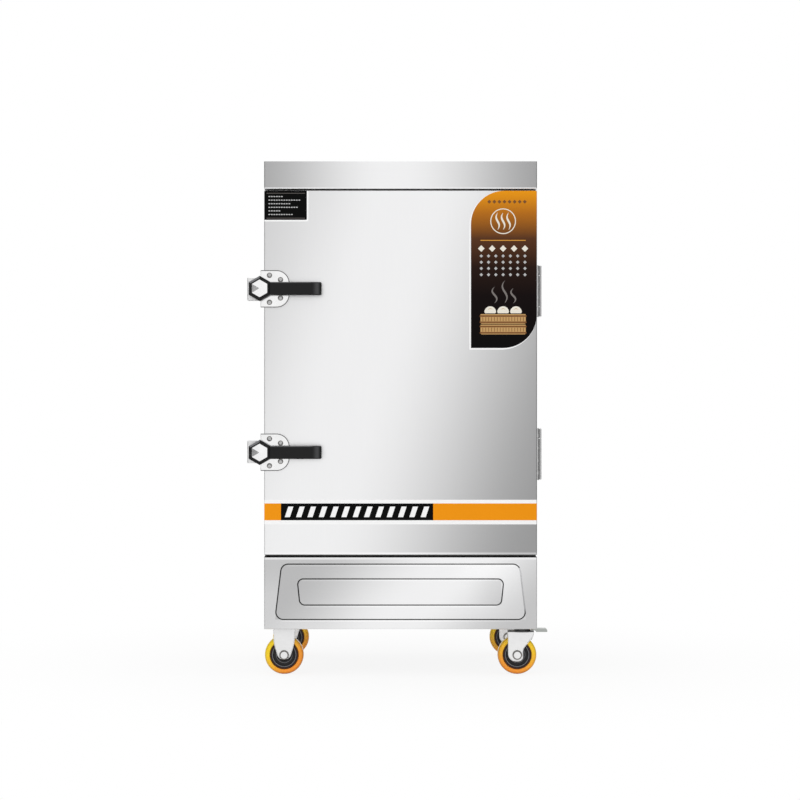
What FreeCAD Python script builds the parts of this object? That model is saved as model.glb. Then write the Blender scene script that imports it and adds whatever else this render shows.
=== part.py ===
import FreeCAD, Part
import math
import os

# Eight-tray rice steamer cabinet on casters, in millimetres with Z up.
# The origin is on the floor below the middle of the body, and the door faces -Y.

# Body
body_width = 700.0
body_depth = 600.0
body_height = 1320.0
ground_clearance = 120.0
base_height = 185.0
fascia_height = 71.0
outer_sheet = 1.0
bend_radius = 3.0
hem_width = 10.0
fit_gap = 0.3

# Trays, racks and the steam space
tray_count = 8
tray_width = body_width - 100.0
tray_length = 400.0
tray_depth = 48.0
tray_sheet = 0.6
tray_rim_width = 14.0
tray_taper = 8.0
tray_corner = 28.0
tray_bottom_bevel = 7.0
first_rim_height = 73.0
top_headroom = 104.0
rim_play = 4.0
runner_width = 16.0
runner_height = 14.0
runner_sheet = 1.5
runner_front_setback = 15.0
post_depth = 6.0
post_width = 20.0
post_sheet = 1.5
stop_post_width = 16.0
stop_post_reach = 12.0
rear_room = 24.0
liner_sheet = 0.8
liner_flange = 12.0
liner_corner = 12.0
frame_lip = 5.0
frame_return = 12.0
frame_face_bottom = 34.5
frame_face_top = 33.0
back_insulation = 36.2
roof_insulation = 50.0

# Door
door_thickness = 46.0
seal_gap = 4.0
door_gap_top = 4.0
door_gap_bottom = 5.5
door_inner_sheet = 0.8
plug_depth = 10.0
plug_clearance = 5.0
gasket_inset = 7.0
gasket_width = 18.0
gasket_base = 1.5
gasket_bulb = 10.0

# Embossed grooves of the base front
groove_width = 3.6
groove_depth = 1.8
groove_wall = 1.0
outer_emboss = {"top": 287.0, "bottom": 145.0, "top_margin": 45.0, "bottom_margin": 28.0, "corner": 19.0}
inner_emboss = {"top": 249.0, "bottom": 182.0, "top_margin": 85.0, "bottom_margin": 92.0, "corner": 14.0}

# Hinges on the right side of the body
hinge_offset = 8.0
hinge_setback = 2.0
hinge_length = 130.0
hinge_barrel_radius = 6.5
hinge_pin_radius = 4.0
pin_clearance = 0.05
pin_head_radius = 5.2
pin_head_height = 2.0
leaf_sheet = 2.5
leaf_width = 38.0
knuckle_notch = 1.0
washer_thickness = 1.4
hinges = {
    "upper": {"height": 988.7, "top_knuckle": 23.5, "bottom_knuckle": 23.5, "washers": 2},
    "lower": {"height": 568.0, "top_knuckle": 23.5, "bottom_knuckle": 53.5, "washers": 1},
}

# Cam latches on the left edge of the door
latch_heights = {"upper": 992.5, "lower": 574.0}
latch_offset = 9.7
latch_plate_overhang = 8.7
latch_plate_reach = 65.4
latch_plate_height = 95.0
latch_plate_thickness = 7.0
latch_plate_corner = 33.0
latch_plate_chamfer = 1.5
latch_boss_radius = 17.0
latch_boss_height = 4.0
latch_sleeve_radius = 9.0
latch_sleeve_length = 15.0
shaft_radius = 7.0
shaft_clearance = 0.05
hub_flats = 56.0
hub_height = 23.5
hub_bevel = 5.0
cap_flats = 39.0
cap_seat = 1.5
cap_rim = 3.0
cap_height = 8.5
cap_peak_flats = 3.2
lever_length = 157.7
lever_width = 33.5
lever_thickness = 9.0
lever_corner = 3.5
lever_chamfer = 2.5
lever_tip_drop = 9.0
lever_tip_run = 26.0
lever_edge_radius = 3.0
lever_root_radius = 8.0
tongue_thickness = 6.0
tongue_reach = 28.0
tongue_width = 16.0
tongue_corner = 7.5
keeper_sheet = 3.0
keeper_height = 57.0
keeper_foot = 50.0
keeper_lip = 22.0
keeper_bend = 0.8
keeper_side_room = 3.3
keeper_lip_gap = 1.6
keeper_behind_frame = 4.0

# Base: chassis, water tank and heating
bottom_plate_lift = 12.0
bottom_plate = 1.5
channel_x = 300.0
channel_width = 60.0
channel_height = 30.0
channel_foot = 12.0
channel_sheet = 2.0
channel_end_room = 10.0
tank_half_width = 225.0
tank_front = -180.0
tank_back = 145.0
tank_depth = 124.0
tank_sheet = 1.0
tank_flange = 14.0
tank_corner = 15.0
element_spacing = 75.0
element_count = 3
element_first_x = -170.0
element_leg_gap = 36.0
element_radius = 5.0
element_front_room = 30.0
element_lift = 28.0
element_flange_radius = 27.0
element_flange = 6.0
terminal_radius = 3.0
terminal_length = 16.0
plate_half_width = 272.0
plate_front = -205.0
plate_back = 215.0
plate_lift = 15.0
plate_sheet = 1.0
plate_columns = 4
plate_rows = 6
slot_length = 60.0
slot_width = 12.0
slot_corner = 5.9
slot_pitch_x = 125.0
slot_pitch_y = 62.0

# Water supply at the back of the base
chamber_x = 185.0
chamber_width = 200.0
chamber_front = 188.0
chamber_overhang = 40.0
chamber_bottom = 170.0
chamber_top = 297.0
chamber_sheet = 1.0
chamber_flange = 12.0
chamber_hole_play = 1.0
lid_lip = 12.0
valve_height = 271.0
valve_body_radius = 11.0
valve_body_length = 20.0
valve_nut_flats = 22.0
valve_nut_height = 5.0
half_inch_thread_radius = 10.5
inlet_length = 16.0
inlet_bore_radius = 6.0
float_pivot_radius = 2.5
float_pivot_gap = 9.0
float_ear_thickness = 3.0
float_ear_length = 16.0
float_ear_height = 14.0
float_eye_radius = 6.0
float_eye_width = 9.0
float_arm_radius = 3.0
float_arm_length = 80.0
float_drop = 13.0
float_radius = 28.0
pipe_x = 120.0
pipe_lift = 16.0
pipe_radius = 9.0
pipe_bore = 7.5
pipe_nut_flats = 26.0
pipe_nut = 6.0

# Drain valve, steam vent, service cover and cable gland
drain_x = 50.0
drain_y = 100.0
drain_height = 165.0
drain_pipe_radius = 10.0
drain_bore_radius = 7.5
drain_bend = 24.0
drain_collar_flats = 28.0
drain_collar = 10.0
drain_barrel_radius = 16.0
drain_barrel = 26.0
drain_outlet = 16.0
drain_outlet_bore_depth = 30.0
drain_stem_radius = 4.0
drain_stem_rise = 12.0
drain_lever_length = 64.0
drain_lever_width = 12.0
drain_lever_sheet = 2.5
drain_lever_step = 8.0
vent_height = 1150.0
vent_radius = 16.0
vent_wall = 1.5
vent_run = 12.0
vent_bend = 24.0
vent_rise = 40.0
vent_flange_radius = 28.0
vent_flange = 3.0
hole_play = 0.3
service_left = -290.0
service_right = 20.0
service_bottom = 150.0
service_top = 285.0
service_lap = 12.0
service_sheet = 1.0
louver_columns = 2
louver_rows = 5
louver_length = 110.0
louver_height = 10.0
louver_proud = 7.0
louver_pitch_x = 145.0
louver_pitch_z = 22.0
gland_x = -318.0
gland_height = 200.0
gland_bore_radius = 6.5
gland_thread_radius = 12.5
gland_hex_flats = 29.0
gland_hex_height = 6.0
gland_nut_radius = 13.5
gland_nut_height = 18.0
gland_locknut_height = 5.0
gland_dome_height = 6.0
gland_lip = 3.0

# Casters
wheel_radius = 50.0
wheel_width = 32.0
wheel_hub_radius = 36.4
tread_bevel = 4.0
hub_web_recess = 5.0
hub_web_outer = 31.0
hub_boss_radius = 13.0
axle_radius = 6.0
axle_clearance = 0.05
axle_nut_radius = 12.0
axle_nut_height = 6.0
axle_nut_bevel = 3.0
fork_sheet = 3.0
fork_side_gap = 1.5
caster_y = 240.0
rigid_caster_x = 300.0
rigid_plate_x = 92.0
rigid_plate_y = 64.0
rigid_leg_top = 55.6
rigid_leg_waist = 53.6
rigid_leg_waist_height = 80.0
rigid_leg_waist_radius = 80.0
rigid_leg_foot = 27.0
rigid_leg_tip = 12.0
rigid_leg_tip_radius = 17.0
swivel_caster_x = 315.3
swivel_trail = 14.0
swivel_plate_x = 64.0
swivel_plate_y = 92.0
swivel_leg_left = 23.6
swivel_leg_right_top = 43.0
swivel_leg_right_axle = 15.0
swivel_leg_shoulder = 8.0
swivel_leg_tip = 16.7
swivel_leg_front_radius = 20.0
swivel_leg_rear_radius = 12.0
swivel_leg_waist_radius = 24.0
swivel_leg_shoulder_radius = 6.0
crown_top = 112.0
crown_radius = 30.0
race_radius = 20.0
race_height = 4.5
cup_radius = 24.0
cup_bevel = 3.0
kingpin_radius = 8.0
kingpin_height = 12.0
kingpin_end_room = 3.0
plate_corner = 8.0
brake_pivot_x = 33.0
brake_pivot_height = 99.0
brake_rod_radius = 3.5
brake_eye_radius = 6.3
brake_eye_room = 1.0
brake_root_x = 3.8
brake_root_z = 4.4
brake_pedal_rise = 12.5
brake_pedal_tip = 77.7
brake_pedal_top = 117.0
brake_pedal_sheet = 4.0
brake_pedal_curl = 8.0
brake_skirt_length = 29.0
brake_skirt_sheet = 2.5
brake_shoe_gap = 2.0
brake_shoe_length = 9.0

# Levels and planes that follow from the sizes above
half_width = body_width / 2
inner_half_width = half_width - outer_sheet
front = -body_depth / 2
back = body_depth / 2
back_inside = back - outer_sheet
door_back = front + door_thickness
frame_front = door_back + seal_gap
frame_back = frame_front + outer_sheet
base_bottom = ground_clearance
base_top = base_bottom + base_height
roof_underside = body_height - outer_sheet
fascia_bottom = body_height - fascia_height
door_bottom = base_top + door_gap_bottom
door_top = fascia_bottom - door_gap_top
runner_outer = tray_width / 2 + rim_play
runner_inner = runner_outer - runner_width
cavity_half = runner_outer + post_depth
opening_half = cavity_half - frame_lip
opening_bottom = door_bottom + frame_face_bottom
opening_top = door_top - frame_face_top
cavity_floor = opening_bottom - frame_lip
cavity_top = opening_top + frame_lip
cavity_back = back_inside - back_insulation - liner_sheet
plug_half = opening_half - plug_clearance
plug_bottom = opening_bottom + plug_clearance
plug_top = opening_top - plug_clearance
plug_face = door_back + plug_depth
tray_back = cavity_back - rear_room
tray_front = tray_back - tray_length
first_rim = cavity_floor + first_rim_height
last_rim = cavity_top - top_headroom
tray_pitch = (last_rim - first_rim) / (tray_count - 1)
deck_top = base_top + outer_sheet
chassis_underside = base_bottom + bottom_plate_lift
chassis_top = chassis_underside + bottom_plate
tank_rim = cavity_floor - liner_sheet
tank_floor = tank_rim - tank_depth
chamber_left = chamber_x - chamber_width / 2
chamber_right = chamber_x + chamber_width / 2
chamber_rear = back + chamber_overhang
hinge_x = half_width + hinge_offset
hinge_y = frame_front - hinge_setback
latch_x = -half_width - latch_offset
boss_face = front - latch_plate_thickness - latch_boss_height
hub_back = boss_face - fit_gap
hub_face = hub_back - hub_height
sleeve_end = front + latch_sleeve_length
tongue_front = sleeve_end + fit_gap
tongue_rear = tongue_front + tongue_thickness
fork_outside = wheel_width / 2 + fork_side_gap + fork_sheet
fork_inside = fork_outside - fork_sheet
swivel_axle_x = swivel_caster_x - swivel_trail

AHEAD = FreeCAD.Vector(0, -1, 0)
BEHIND = FreeCAD.Vector(0, 1, 0)
UP = FreeCAD.Vector(0, 0, 1)
RIGHT = FreeCAD.Vector(1, 0, 0)
POINT_UP = 30


def point(x, y, z):
    return FreeCAD.Vector(x, y, z)


def block(x0, x1, y0, y1, z0, z1):
    return Part.makeBox(x1 - x0, y1 - y0, z1 - z0, point(x0, y0, z0))


def rod(radius, start, end):
    return Part.makeCylinder(radius, (end - start).Length, start, end - start)


def tube(radius, bore, start, end):
    return rod(radius, start, end).cut(rod(bore, start, end))


def prism(wire, direction, length):
    return Part.Face(wire).extrude(direction * length)


def mirrored(shape):
    return shape.mirror(point(0, 0, 0), RIGHT)


def rounded_path(corners, radii, closed=True):
    """Straight runs joined by tangent arcs. A radius of 0 leaves a corner sharp."""
    count = len(corners)
    if not isinstance(radii, (list, tuple)):
        radii = [radii] * count
    stops = []
    for i, corner in enumerate(corners):
        if radii[i] <= 0 or (not closed and i in (0, count - 1)):
            stops.append((corner, corner, corner))
            continue
        backward = (corners[i - 1] - corner).normalize()
        forward = (corners[(i + 1) % count] - corner).normalize()
        half_angle = backward.getAngle(forward) / 2
        reach = radii[i] / math.tan(half_angle)
        bulge = radii[i] / math.sin(half_angle) - radii[i]
        middle = corner + (backward + forward).normalize() * bulge
        stops.append((corner + backward * reach, middle, corner + forward * reach))
    edges = []
    for i, (start, middle, end) in enumerate(stops):
        if (end - start).Length > 1e-6:
            edges.append(Part.Arc(start, middle, end).toShape())
        if closed or i < count - 1:
            following = stops[(i + 1) % count][0]
            if (following - end).Length > 1e-6:
                edges.append(Part.LineSegment(end, following).toShape())
    return Part.Wire(edges)


def front_outline(half, bottom, top, y, radius):
    """A rounded rectangle that stands in the plane at y, centred on the body."""
    corners = [point(-half, y, bottom), point(half, y, bottom), point(half, y, top), point(-half, y, top)]
    return rounded_path(corners, radius)


def plan_outline(x0, x1, y0, y1, z, radius):
    """A rounded rectangle that lies in the plane at z."""
    return rounded_path([point(x0, y0, z), point(x1, y0, z), point(x1, y1, z), point(x0, y1, z)], radius)


def bent_sheet(corners, radius, thickness, direction, length):
    """A folded strip: the path is one face of the sheet, and the other lies a thickness to one side."""
    path = rounded_path(corners, radius, closed=False)
    return path.makeOffset2D(thickness, 0, True, True).extrude(direction * length)


def hexagon(flats, centre, axis, turn=0.0):
    """A hexagonal wire around the axis. POINT_UP as its turn puts a vertex at the top of an upright one."""
    radius = flats / math.sqrt(3)
    wire = Part.makePolygon([
        point(radius * math.cos(math.radians(60 * i)), radius * math.sin(math.radians(60 * i)), 0)
        for i in range(7)
    ])
    wire.rotate(point(0, 0, 0), UP, turn)
    wire.Placement = FreeCAD.Placement(centre, FreeCAD.Rotation(UP, axis)).multiply(wire.Placement)
    return wire


def frustum(lower, upper):
    """The flat-sided solid between two polygons that have as many corners."""
    low = [vertex.Point for vertex in lower.OrderedVertexes]
    high = [vertex.Point for vertex in upper.OrderedVertexes]
    faces = [Part.Face(lower), Part.Face(upper)]
    for i in range(len(low)):
        j = (i + 1) % len(low)
        faces.append(Part.Face(Part.makePolygon([low[i], low[j], high[j], high[i], low[i]])))
    solid = Part.Solid(Part.Shell(faces))
    if solid.Volume < 0:
        solid.reverse()
    return solid


def edges_where(shape, test):
    return [edge for edge in shape.Edges if test(edge.BoundBox)]


def rounded_front_box(x0, x1, y0, y1, z0, z1, radius):
    """A box whose four front edges are rounded."""
    solid = block(x0, x1, y0, y1, z0, z1)
    return solid.makeFillet(radius, edges_where(solid, lambda b: b.YMax < y0 + 1e-6))


def front_pan(bottom, top, depth_end):
    """The folded outer skin of a door or of a front panel, open towards the back."""
    outer = rounded_front_box(-half_width, half_width, front, depth_end, bottom, top, bend_radius)
    inner = rounded_front_box(
        -inner_half_width, inner_half_width, front + outer_sheet, depth_end + outer_sheet,
        bottom + outer_sheet, top - outer_sheet, bend_radius - outer_sheet)
    return outer.cut(inner)


# Cabinet shell

def side_panel():
    """The left sheet, folded inward along the bottom edge."""
    corners = [
        point(-half_width + hem_width, frame_front, base_bottom),
        point(-half_width, frame_front, base_bottom),
        point(-half_width, frame_front, roof_underside),
    ]
    return bent_sheet(corners, bend_radius, -outer_sheet, BEHIND, back - frame_front)


def top_cover():
    """The roof sheet, folded down into the fascia above the door."""
    fascia = front_pan(fascia_bottom, body_height, frame_front)
    roof = block(-half_width, half_width, frame_front, back, roof_underside, body_height)
    lip = block(-inner_half_width, inner_half_width, frame_front - outer_sheet, frame_front,
                fascia_bottom + outer_sheet, fascia_bottom + outer_sheet + hem_width)
    return fascia.fuse([roof, lip]).removeSplitter()


def back_panel():
    """The rear sheet with its cut-outs for the water chamber, service opening, drain, vent and gland."""
    corners = [
        point(-inner_half_width, back - hem_width, base_bottom),
        point(-inner_half_width, back, base_bottom),
        point(-inner_half_width, back, roof_underside),
    ]
    sheet = bent_sheet(corners, bend_radius, -outer_sheet, RIGHT, 2 * inner_half_width)
    deep = (back - 2 * outer_sheet, back + outer_sheet)
    corner = block(half_width - hem_width, half_width, back - 2 * hem_width, back + outer_sheet,
                   base_bottom - outer_sheet, base_bottom + bend_radius + outer_sheet)
    cuts = [
        corner, mirrored(corner),
        block(chamber_left - chamber_hole_play, chamber_right + chamber_hole_play, *deep,
              chamber_bottom - chamber_hole_play, chamber_top + 2 * chamber_hole_play),
        block(service_left + service_lap, service_right - service_lap, *deep,
              service_bottom + service_lap, service_top - service_lap),
    ]
    round_holes = [
        (drain_x, drain_height, drain_pipe_radius),
        (0, vent_height, vent_radius),
        (gland_x, gland_height, gland_thread_radius),
    ]
    for x, z, radius in round_holes:
        cuts.append(rod(radius + hole_play, point(x, deep[0], z), point(x, deep[1], z)))
    return sheet.cut(cuts)


def front_frame():
    """The flat ring that the door shuts on, with a return folded in around the opening."""
    plate = block(-inner_half_width, inner_half_width, frame_front, frame_back, base_top, fascia_bottom)
    collar = prism(front_outline(opening_half + outer_sheet, opening_bottom - outer_sheet,
                                 opening_top + outer_sheet, frame_front, liner_corner + outer_sheet),
                   BEHIND, frame_return)
    opening = front_outline(opening_half, opening_bottom, opening_top, frame_front - outer_sheet,
                            liner_corner)
    hole = prism(opening, BEHIND, frame_return + 2 * outer_sheet)
    return plate.fuse(collar).cut(hole).removeSplitter()


def inner_liner():
    """The welded steam chamber: walls, roof, back and four floor sheets, flanged behind the frame."""
    shell = prism(front_outline(cavity_half + liner_sheet, cavity_floor - liner_sheet,
                                cavity_top + liner_sheet, frame_back, liner_corner + liner_sheet),
                  BEHIND, cavity_back + liner_sheet - frame_back)
    flange = prism(front_outline(cavity_half + liner_flange, cavity_floor - liner_flange,
                                 cavity_top + liner_flange, frame_back, liner_corner), BEHIND, liner_sheet)
    room = prism(front_outline(cavity_half, cavity_floor, cavity_top, frame_back - liner_sheet, liner_corner),
                 BEHIND, cavity_back - frame_back + liner_sheet)
    sump = block(-tank_half_width, tank_half_width, tank_front, tank_back,
                 cavity_floor - 2 * liner_sheet, cavity_floor + liner_corner)
    vent = rod(vent_radius + hole_play, point(0, cavity_back - liner_sheet, vent_height),
               point(0, cavity_back + 2 * liner_sheet, vent_height))
    chamber = shell.fuse(flange).cut([room, sump, vent])
    side = cavity_half + 2 * liner_flange
    near = frame_back - liner_sheet
    rear = cavity_back + 2 * liner_sheet
    under = cavity_floor - 2 * liner_flange
    over = cavity_top + 2 * liner_flange
    low = cavity_floor + liner_corner
    high = cavity_top - liner_corner
    sheets = [
        block(-side, 0, near, cavity_back, low, high),
        block(0, side, near, cavity_back, low, high),
        block(-side, side, near, rear, high, over),
        block(-side, side, cavity_back, rear, low, high),
        block(-side, side, near, tank_front, under, low),
        block(-side, side, tank_back, rear, under, low),
        block(-side, -tank_half_width, tank_front, tank_back, under, low),
        block(tank_half_width, side, tank_front, tank_back, under, low),
    ]
    return [chamber.common(sheet).removeSplitter() for sheet in sheets]


def cabinet_insulation():
    """Foam between the liner and the outer sheets, from the deck to above the liner."""
    outside = block(-inner_half_width, inner_half_width, frame_back + liner_sheet, back_inside,
                    deck_top, cavity_top + liner_sheet + roof_insulation)
    liner_block = prism(front_outline(cavity_half + liner_sheet, cavity_floor - liner_sheet,
                                      cavity_top + liner_sheet, frame_back, liner_corner + liner_sheet),
                        BEHIND, cavity_back + liner_sheet - frame_back)
    tank_reach = tank_flange + tank_sheet
    tank_block = block(-tank_half_width - tank_reach, tank_half_width + tank_reach,
                       tank_front - tank_reach, tank_back + tank_reach, base_top, cavity_floor)
    vent = rod(vent_radius + hole_play, point(0, cavity_back, vent_height), point(0, back, vent_height))
    return outside.cut([liner_block, tank_block, vent])


def base_chassis():
    """Bottom plate, deck and two hat channels that spread the caster loads."""
    floor = block(-inner_half_width, inner_half_width, front + bend_radius, back_inside,
                  chassis_underside, chassis_top)
    deck = block(-inner_half_width, inner_half_width, frame_back, back_inside, base_top, deck_top)
    play = tank_sheet + chamber_hole_play
    deck = deck.cut(block(-tank_half_width - play, tank_half_width + play, tank_front - play,
                          tank_back + play, base_top - outer_sheet, deck_top + outer_sheet))
    foot = channel_width / 2 + channel_foot
    web = channel_width / 2
    near = front + outer_sheet + channel_end_room
    corners = [
        point(channel_x - foot, near, chassis_top), point(channel_x - web, near, chassis_top),
        point(channel_x - web, near, chassis_top + channel_height),
        point(channel_x + web, near, chassis_top + channel_height),
        point(channel_x + web, near, chassis_top), point(channel_x + foot, near, chassis_top),
    ]
    channel = bent_sheet(corners, bend_radius, channel_sheet, BEHIND, back_inside - channel_end_room - near)
    return [floor, deck, channel, mirrored(channel)]


def emboss_outline(emboss, y, grow):
    foot = half_width - emboss["bottom_margin"]
    head = half_width - emboss["top_margin"]
    corners = [
        point(-foot, y, emboss["bottom"]), point(foot, y, emboss["bottom"]),
        point(head, y, emboss["top"]), point(-head, y, emboss["top"]),
    ]
    path = rounded_path(corners, emboss["corner"])
    return path.makeOffset2D(grow) if grow else path


def pressed_groove(emboss):
    """The V that is pressed into the sheet, and the ridge that it raises behind."""
    bottom = front + groove_depth
    line = emboss_outline(emboss, bottom, 0)
    wide = Part.makeLoft([emboss_outline(emboss, front, groove_width / 2), line], True, True)
    narrow = Part.makeLoft([emboss_outline(emboss, front, -groove_width / 2), line], True, True)
    behind = front + outer_sheet
    half_ridge = groove_width / 2 + groove_wall
    ridge = prism(emboss_outline(emboss, behind, half_ridge), BEHIND, groove_depth)
    ridge = ridge.cut(prism(emboss_outline(emboss, behind, -half_ridge), BEHIND, groove_depth))
    return wide.cut(narrow), ridge


def base_front_panel():
    """The base front with two pressed outlines, one inside the other."""
    pan = front_pan(base_bottom, base_top, frame_front)
    opening = block(-inner_half_width, inner_half_width, front + hem_width, frame_front + outer_sheet,
                    base_bottom - outer_sheet, base_bottom + 2 * outer_sheet)
    pan = pan.cut(opening)
    for emboss in (outer_emboss, inner_emboss):
        groove, ridge = pressed_groove(emboss)
        pan = pan.fuse(ridge).cut(groove)
    return pan.removeSplitter()


# Steam space

def post(face, y, width, floor, top):
    """An upright channel, open towards the left wall of the liner."""
    outside = block(-cavity_half, face, y, y + width, floor, top)
    inside = block(-cavity_half, face - post_sheet, y + post_sheet, y + width - post_sheet, floor, top)
    return outside.cut(inside)


def tray_rack():
    """Left rack: two posts on the liner, a stop post behind the trays and a runner under each rim."""
    floor = cavity_floor + liner_corner
    top = cavity_top - liner_corner
    pieces = []
    runner_front = frame_front + frame_return + runner_front_setback - frame_lip
    stop_front = tray_back + fit_gap
    mid_y = (runner_front + stop_front) / 2
    for y in (runner_front + post_width, mid_y):
        pieces.append(post(-runner_outer, y, post_width, floor, top))
    pieces.append(post(-tray_width / 2 + stop_post_reach, stop_front, stop_post_width, floor, top))
    for i in range(tray_count):
        shelf = first_rim + i * tray_pitch - tray_sheet - fit_gap
        corners = [
            point(-runner_outer, runner_front, shelf - runner_height),
            point(-runner_outer, runner_front, shelf),
            point(-runner_inner, runner_front, shelf),
        ]
        pieces.append(bent_sheet(corners, runner_sheet, -runner_sheet, BEHIND, stop_front - runner_front))
    return pieces


def tray_section(inset, z, grow):
    half_x = tray_width / 2 - tray_rim_width - inset + grow
    half_y = tray_length / 2 - tray_rim_width - inset + grow
    middle = (tray_front + tray_back) / 2
    return plan_outline(-half_x, half_x, middle - half_y, middle + half_y, z, tray_corner - inset + grow)


def tray_body(rim, grow):
    """The drawn pan as a solid: tapered walls and a bevelled foot, grown by a sheet for the outside."""
    base = rim - tray_depth
    wall_share = (tray_depth - tray_bottom_bevel) / tray_depth
    levels = [
        tray_section(0, rim, grow),
        tray_section(tray_taper * wall_share, base + tray_bottom_bevel, grow),
        tray_section(tray_taper + tray_bottom_bevel, base - grow + tray_sheet, grow),
    ]
    return Part.makeLoft(levels, True, True)


def tray(rim):
    """A steaming tray that hangs by its rim on the runners."""
    corner = tray_corner + tray_rim_width
    flange = prism(plan_outline(-tray_width / 2, tray_width / 2, tray_front, tray_back,
                                rim - tray_sheet, corner), UP, tray_sheet)
    return flange.fuse(tray_body(rim, tray_sheet)).cut(tray_body(rim, 0)).removeSplitter()


def slot_wire(x, y, z):
    half = slot_length / 2
    corners = [
        point(x - half, y - slot_width / 2, z), point(x + half, y - slot_width / 2, z),
        point(x + half, y + slot_width / 2, z), point(x - half, y + slot_width / 2, z),
    ]
    return rounded_path(corners, slot_corner)


def steam_plate():
    """The slotted baffle over the tank, on its two folded sides."""
    top = cavity_floor + plate_lift + plate_sheet
    corners = [
        point(-plate_half_width, plate_front, cavity_floor), point(-plate_half_width, plate_front, top),
        point(plate_half_width, plate_front, top), point(plate_half_width, plate_front, cavity_floor),
    ]
    plate = bent_sheet(corners, bend_radius, -plate_sheet, BEHIND, plate_back - plate_front)
    middle = (plate_front + plate_back) / 2
    slots = []
    for column in range(plate_columns):
        for row in range(plate_rows):
            x = (column - (plate_columns - 1) / 2) * slot_pitch_x
            y = middle + (row - (plate_rows - 1) / 2) * slot_pitch_y
            slots.append(prism(slot_wire(x, y, top - 2 * plate_sheet), UP, 3 * plate_sheet))
    return plate.cut(slots)


def water_tank():
    """The boiling pan under the floor of the liner, with a flange and holes for what passes through it."""
    outside = prism(plan_outline(-tank_half_width - tank_sheet, tank_half_width + tank_sheet,
                                 tank_front - tank_sheet, tank_back + tank_sheet,
                                 tank_floor - tank_sheet, tank_corner + tank_sheet),
                    UP, tank_rim - tank_floor + tank_sheet)
    flange = block(-tank_half_width - tank_flange, tank_half_width + tank_flange,
                   tank_front - tank_flange, tank_back + tank_flange, tank_rim - tank_sheet, tank_rim)
    inside = prism(plan_outline(-tank_half_width, tank_half_width, tank_front, tank_back,
                                tank_floor, tank_corner), UP, tank_depth + tank_sheet)
    cuts = [inside]
    for x in element_centres():
        for side in (-1, 1):
            leg = x + side * element_leg_gap / 2
            cuts.append(rod(element_radius + hole_play, point(leg, tank_back - tank_sheet, element_height()),
                            point(leg, tank_back + 2 * tank_sheet, element_height())))
    cuts.append(rod(pipe_bore, point(pipe_x, tank_back - tank_sheet, pipe_height()),
                    point(pipe_x, tank_back + 2 * tank_sheet, pipe_height())))
    cuts.append(rod(drain_bore_radius, point(drain_x, drain_y, tank_floor - 2 * tank_sheet),
                    point(drain_x, drain_y, tank_floor + tank_sheet)))
    return outside.fuse(flange).cut(cuts).removeSplitter()


def element_centres():
    return [element_first_x + i * element_spacing for i in range(element_count)]


def element_height():
    return tank_floor + element_lift


def pipe_height():
    return tank_floor + pipe_lift


def heating_element(x):
    """A hairpin element: two legs joined by a half-round bend, a flange on the tank and two terminals."""
    z = element_height()
    bend = element_leg_gap / 2
    turn_y = tank_front + element_front_room
    seat = tank_back + tank_sheet
    path = Part.Wire([
        Part.LineSegment(point(x - bend, seat, z), point(x - bend, turn_y, z)).toShape(),
        Part.Arc(point(x - bend, turn_y, z), point(x, turn_y - bend, z),
                 point(x + bend, turn_y, z)).toShape(),
        Part.LineSegment(point(x + bend, turn_y, z), point(x + bend, seat, z)).toShape(),
    ])
    circle = Part.Wire([Part.makeCircle(element_radius, point(x - bend, seat, z), BEHIND)])
    hairpin = path.makePipeShell([circle], True, False)
    face = seat + element_flange
    pieces = [rod(element_flange_radius, point(x, seat, z), point(x, face, z))]
    for side in (-1, 1):
        pieces.append(rod(terminal_radius, point(x + side * bend, face, z),
                          point(x + side * bend, face + terminal_length, z)))
    return hairpin.fuse(pieces).removeSplitter()


# Water supply

def float_chamber():
    """The level box let into the base from behind: flanges on the back panel and a lid that slides out."""
    outside = block(chamber_left, chamber_right, chamber_front, chamber_rear, chamber_bottom, chamber_top)
    flange = block(chamber_left - chamber_flange, chamber_right + chamber_flange, back, back + chamber_sheet,
                   chamber_bottom - chamber_flange, chamber_top)
    inside = block(chamber_left + chamber_sheet, chamber_right - chamber_sheet, chamber_front + chamber_sheet,
                   chamber_rear - chamber_sheet, chamber_bottom + chamber_sheet, chamber_top + chamber_sheet)
    pipe_hole = rod(pipe_bore, point(pipe_x, chamber_front - chamber_sheet, pipe_height()),
                    point(pipe_x, chamber_front + 2 * chamber_sheet, pipe_height()))
    inlet_hole = rod(half_inch_thread_radius,
                     point(chamber_x, chamber_rear - 2 * chamber_sheet, valve_height),
                     point(chamber_x, chamber_rear + chamber_sheet, valve_height))
    box = outside.fuse(flange).cut([inside, pipe_hole, inlet_hole]).removeSplitter()
    corners = [
        point(chamber_left, chamber_front, chamber_top), point(chamber_left, chamber_rear, chamber_top),
        point(chamber_left, chamber_rear, chamber_top - lid_lip),
    ]
    lid = bent_sheet(corners, 0, -chamber_sheet, RIGHT, chamber_width)
    return [box, lid]


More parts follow.
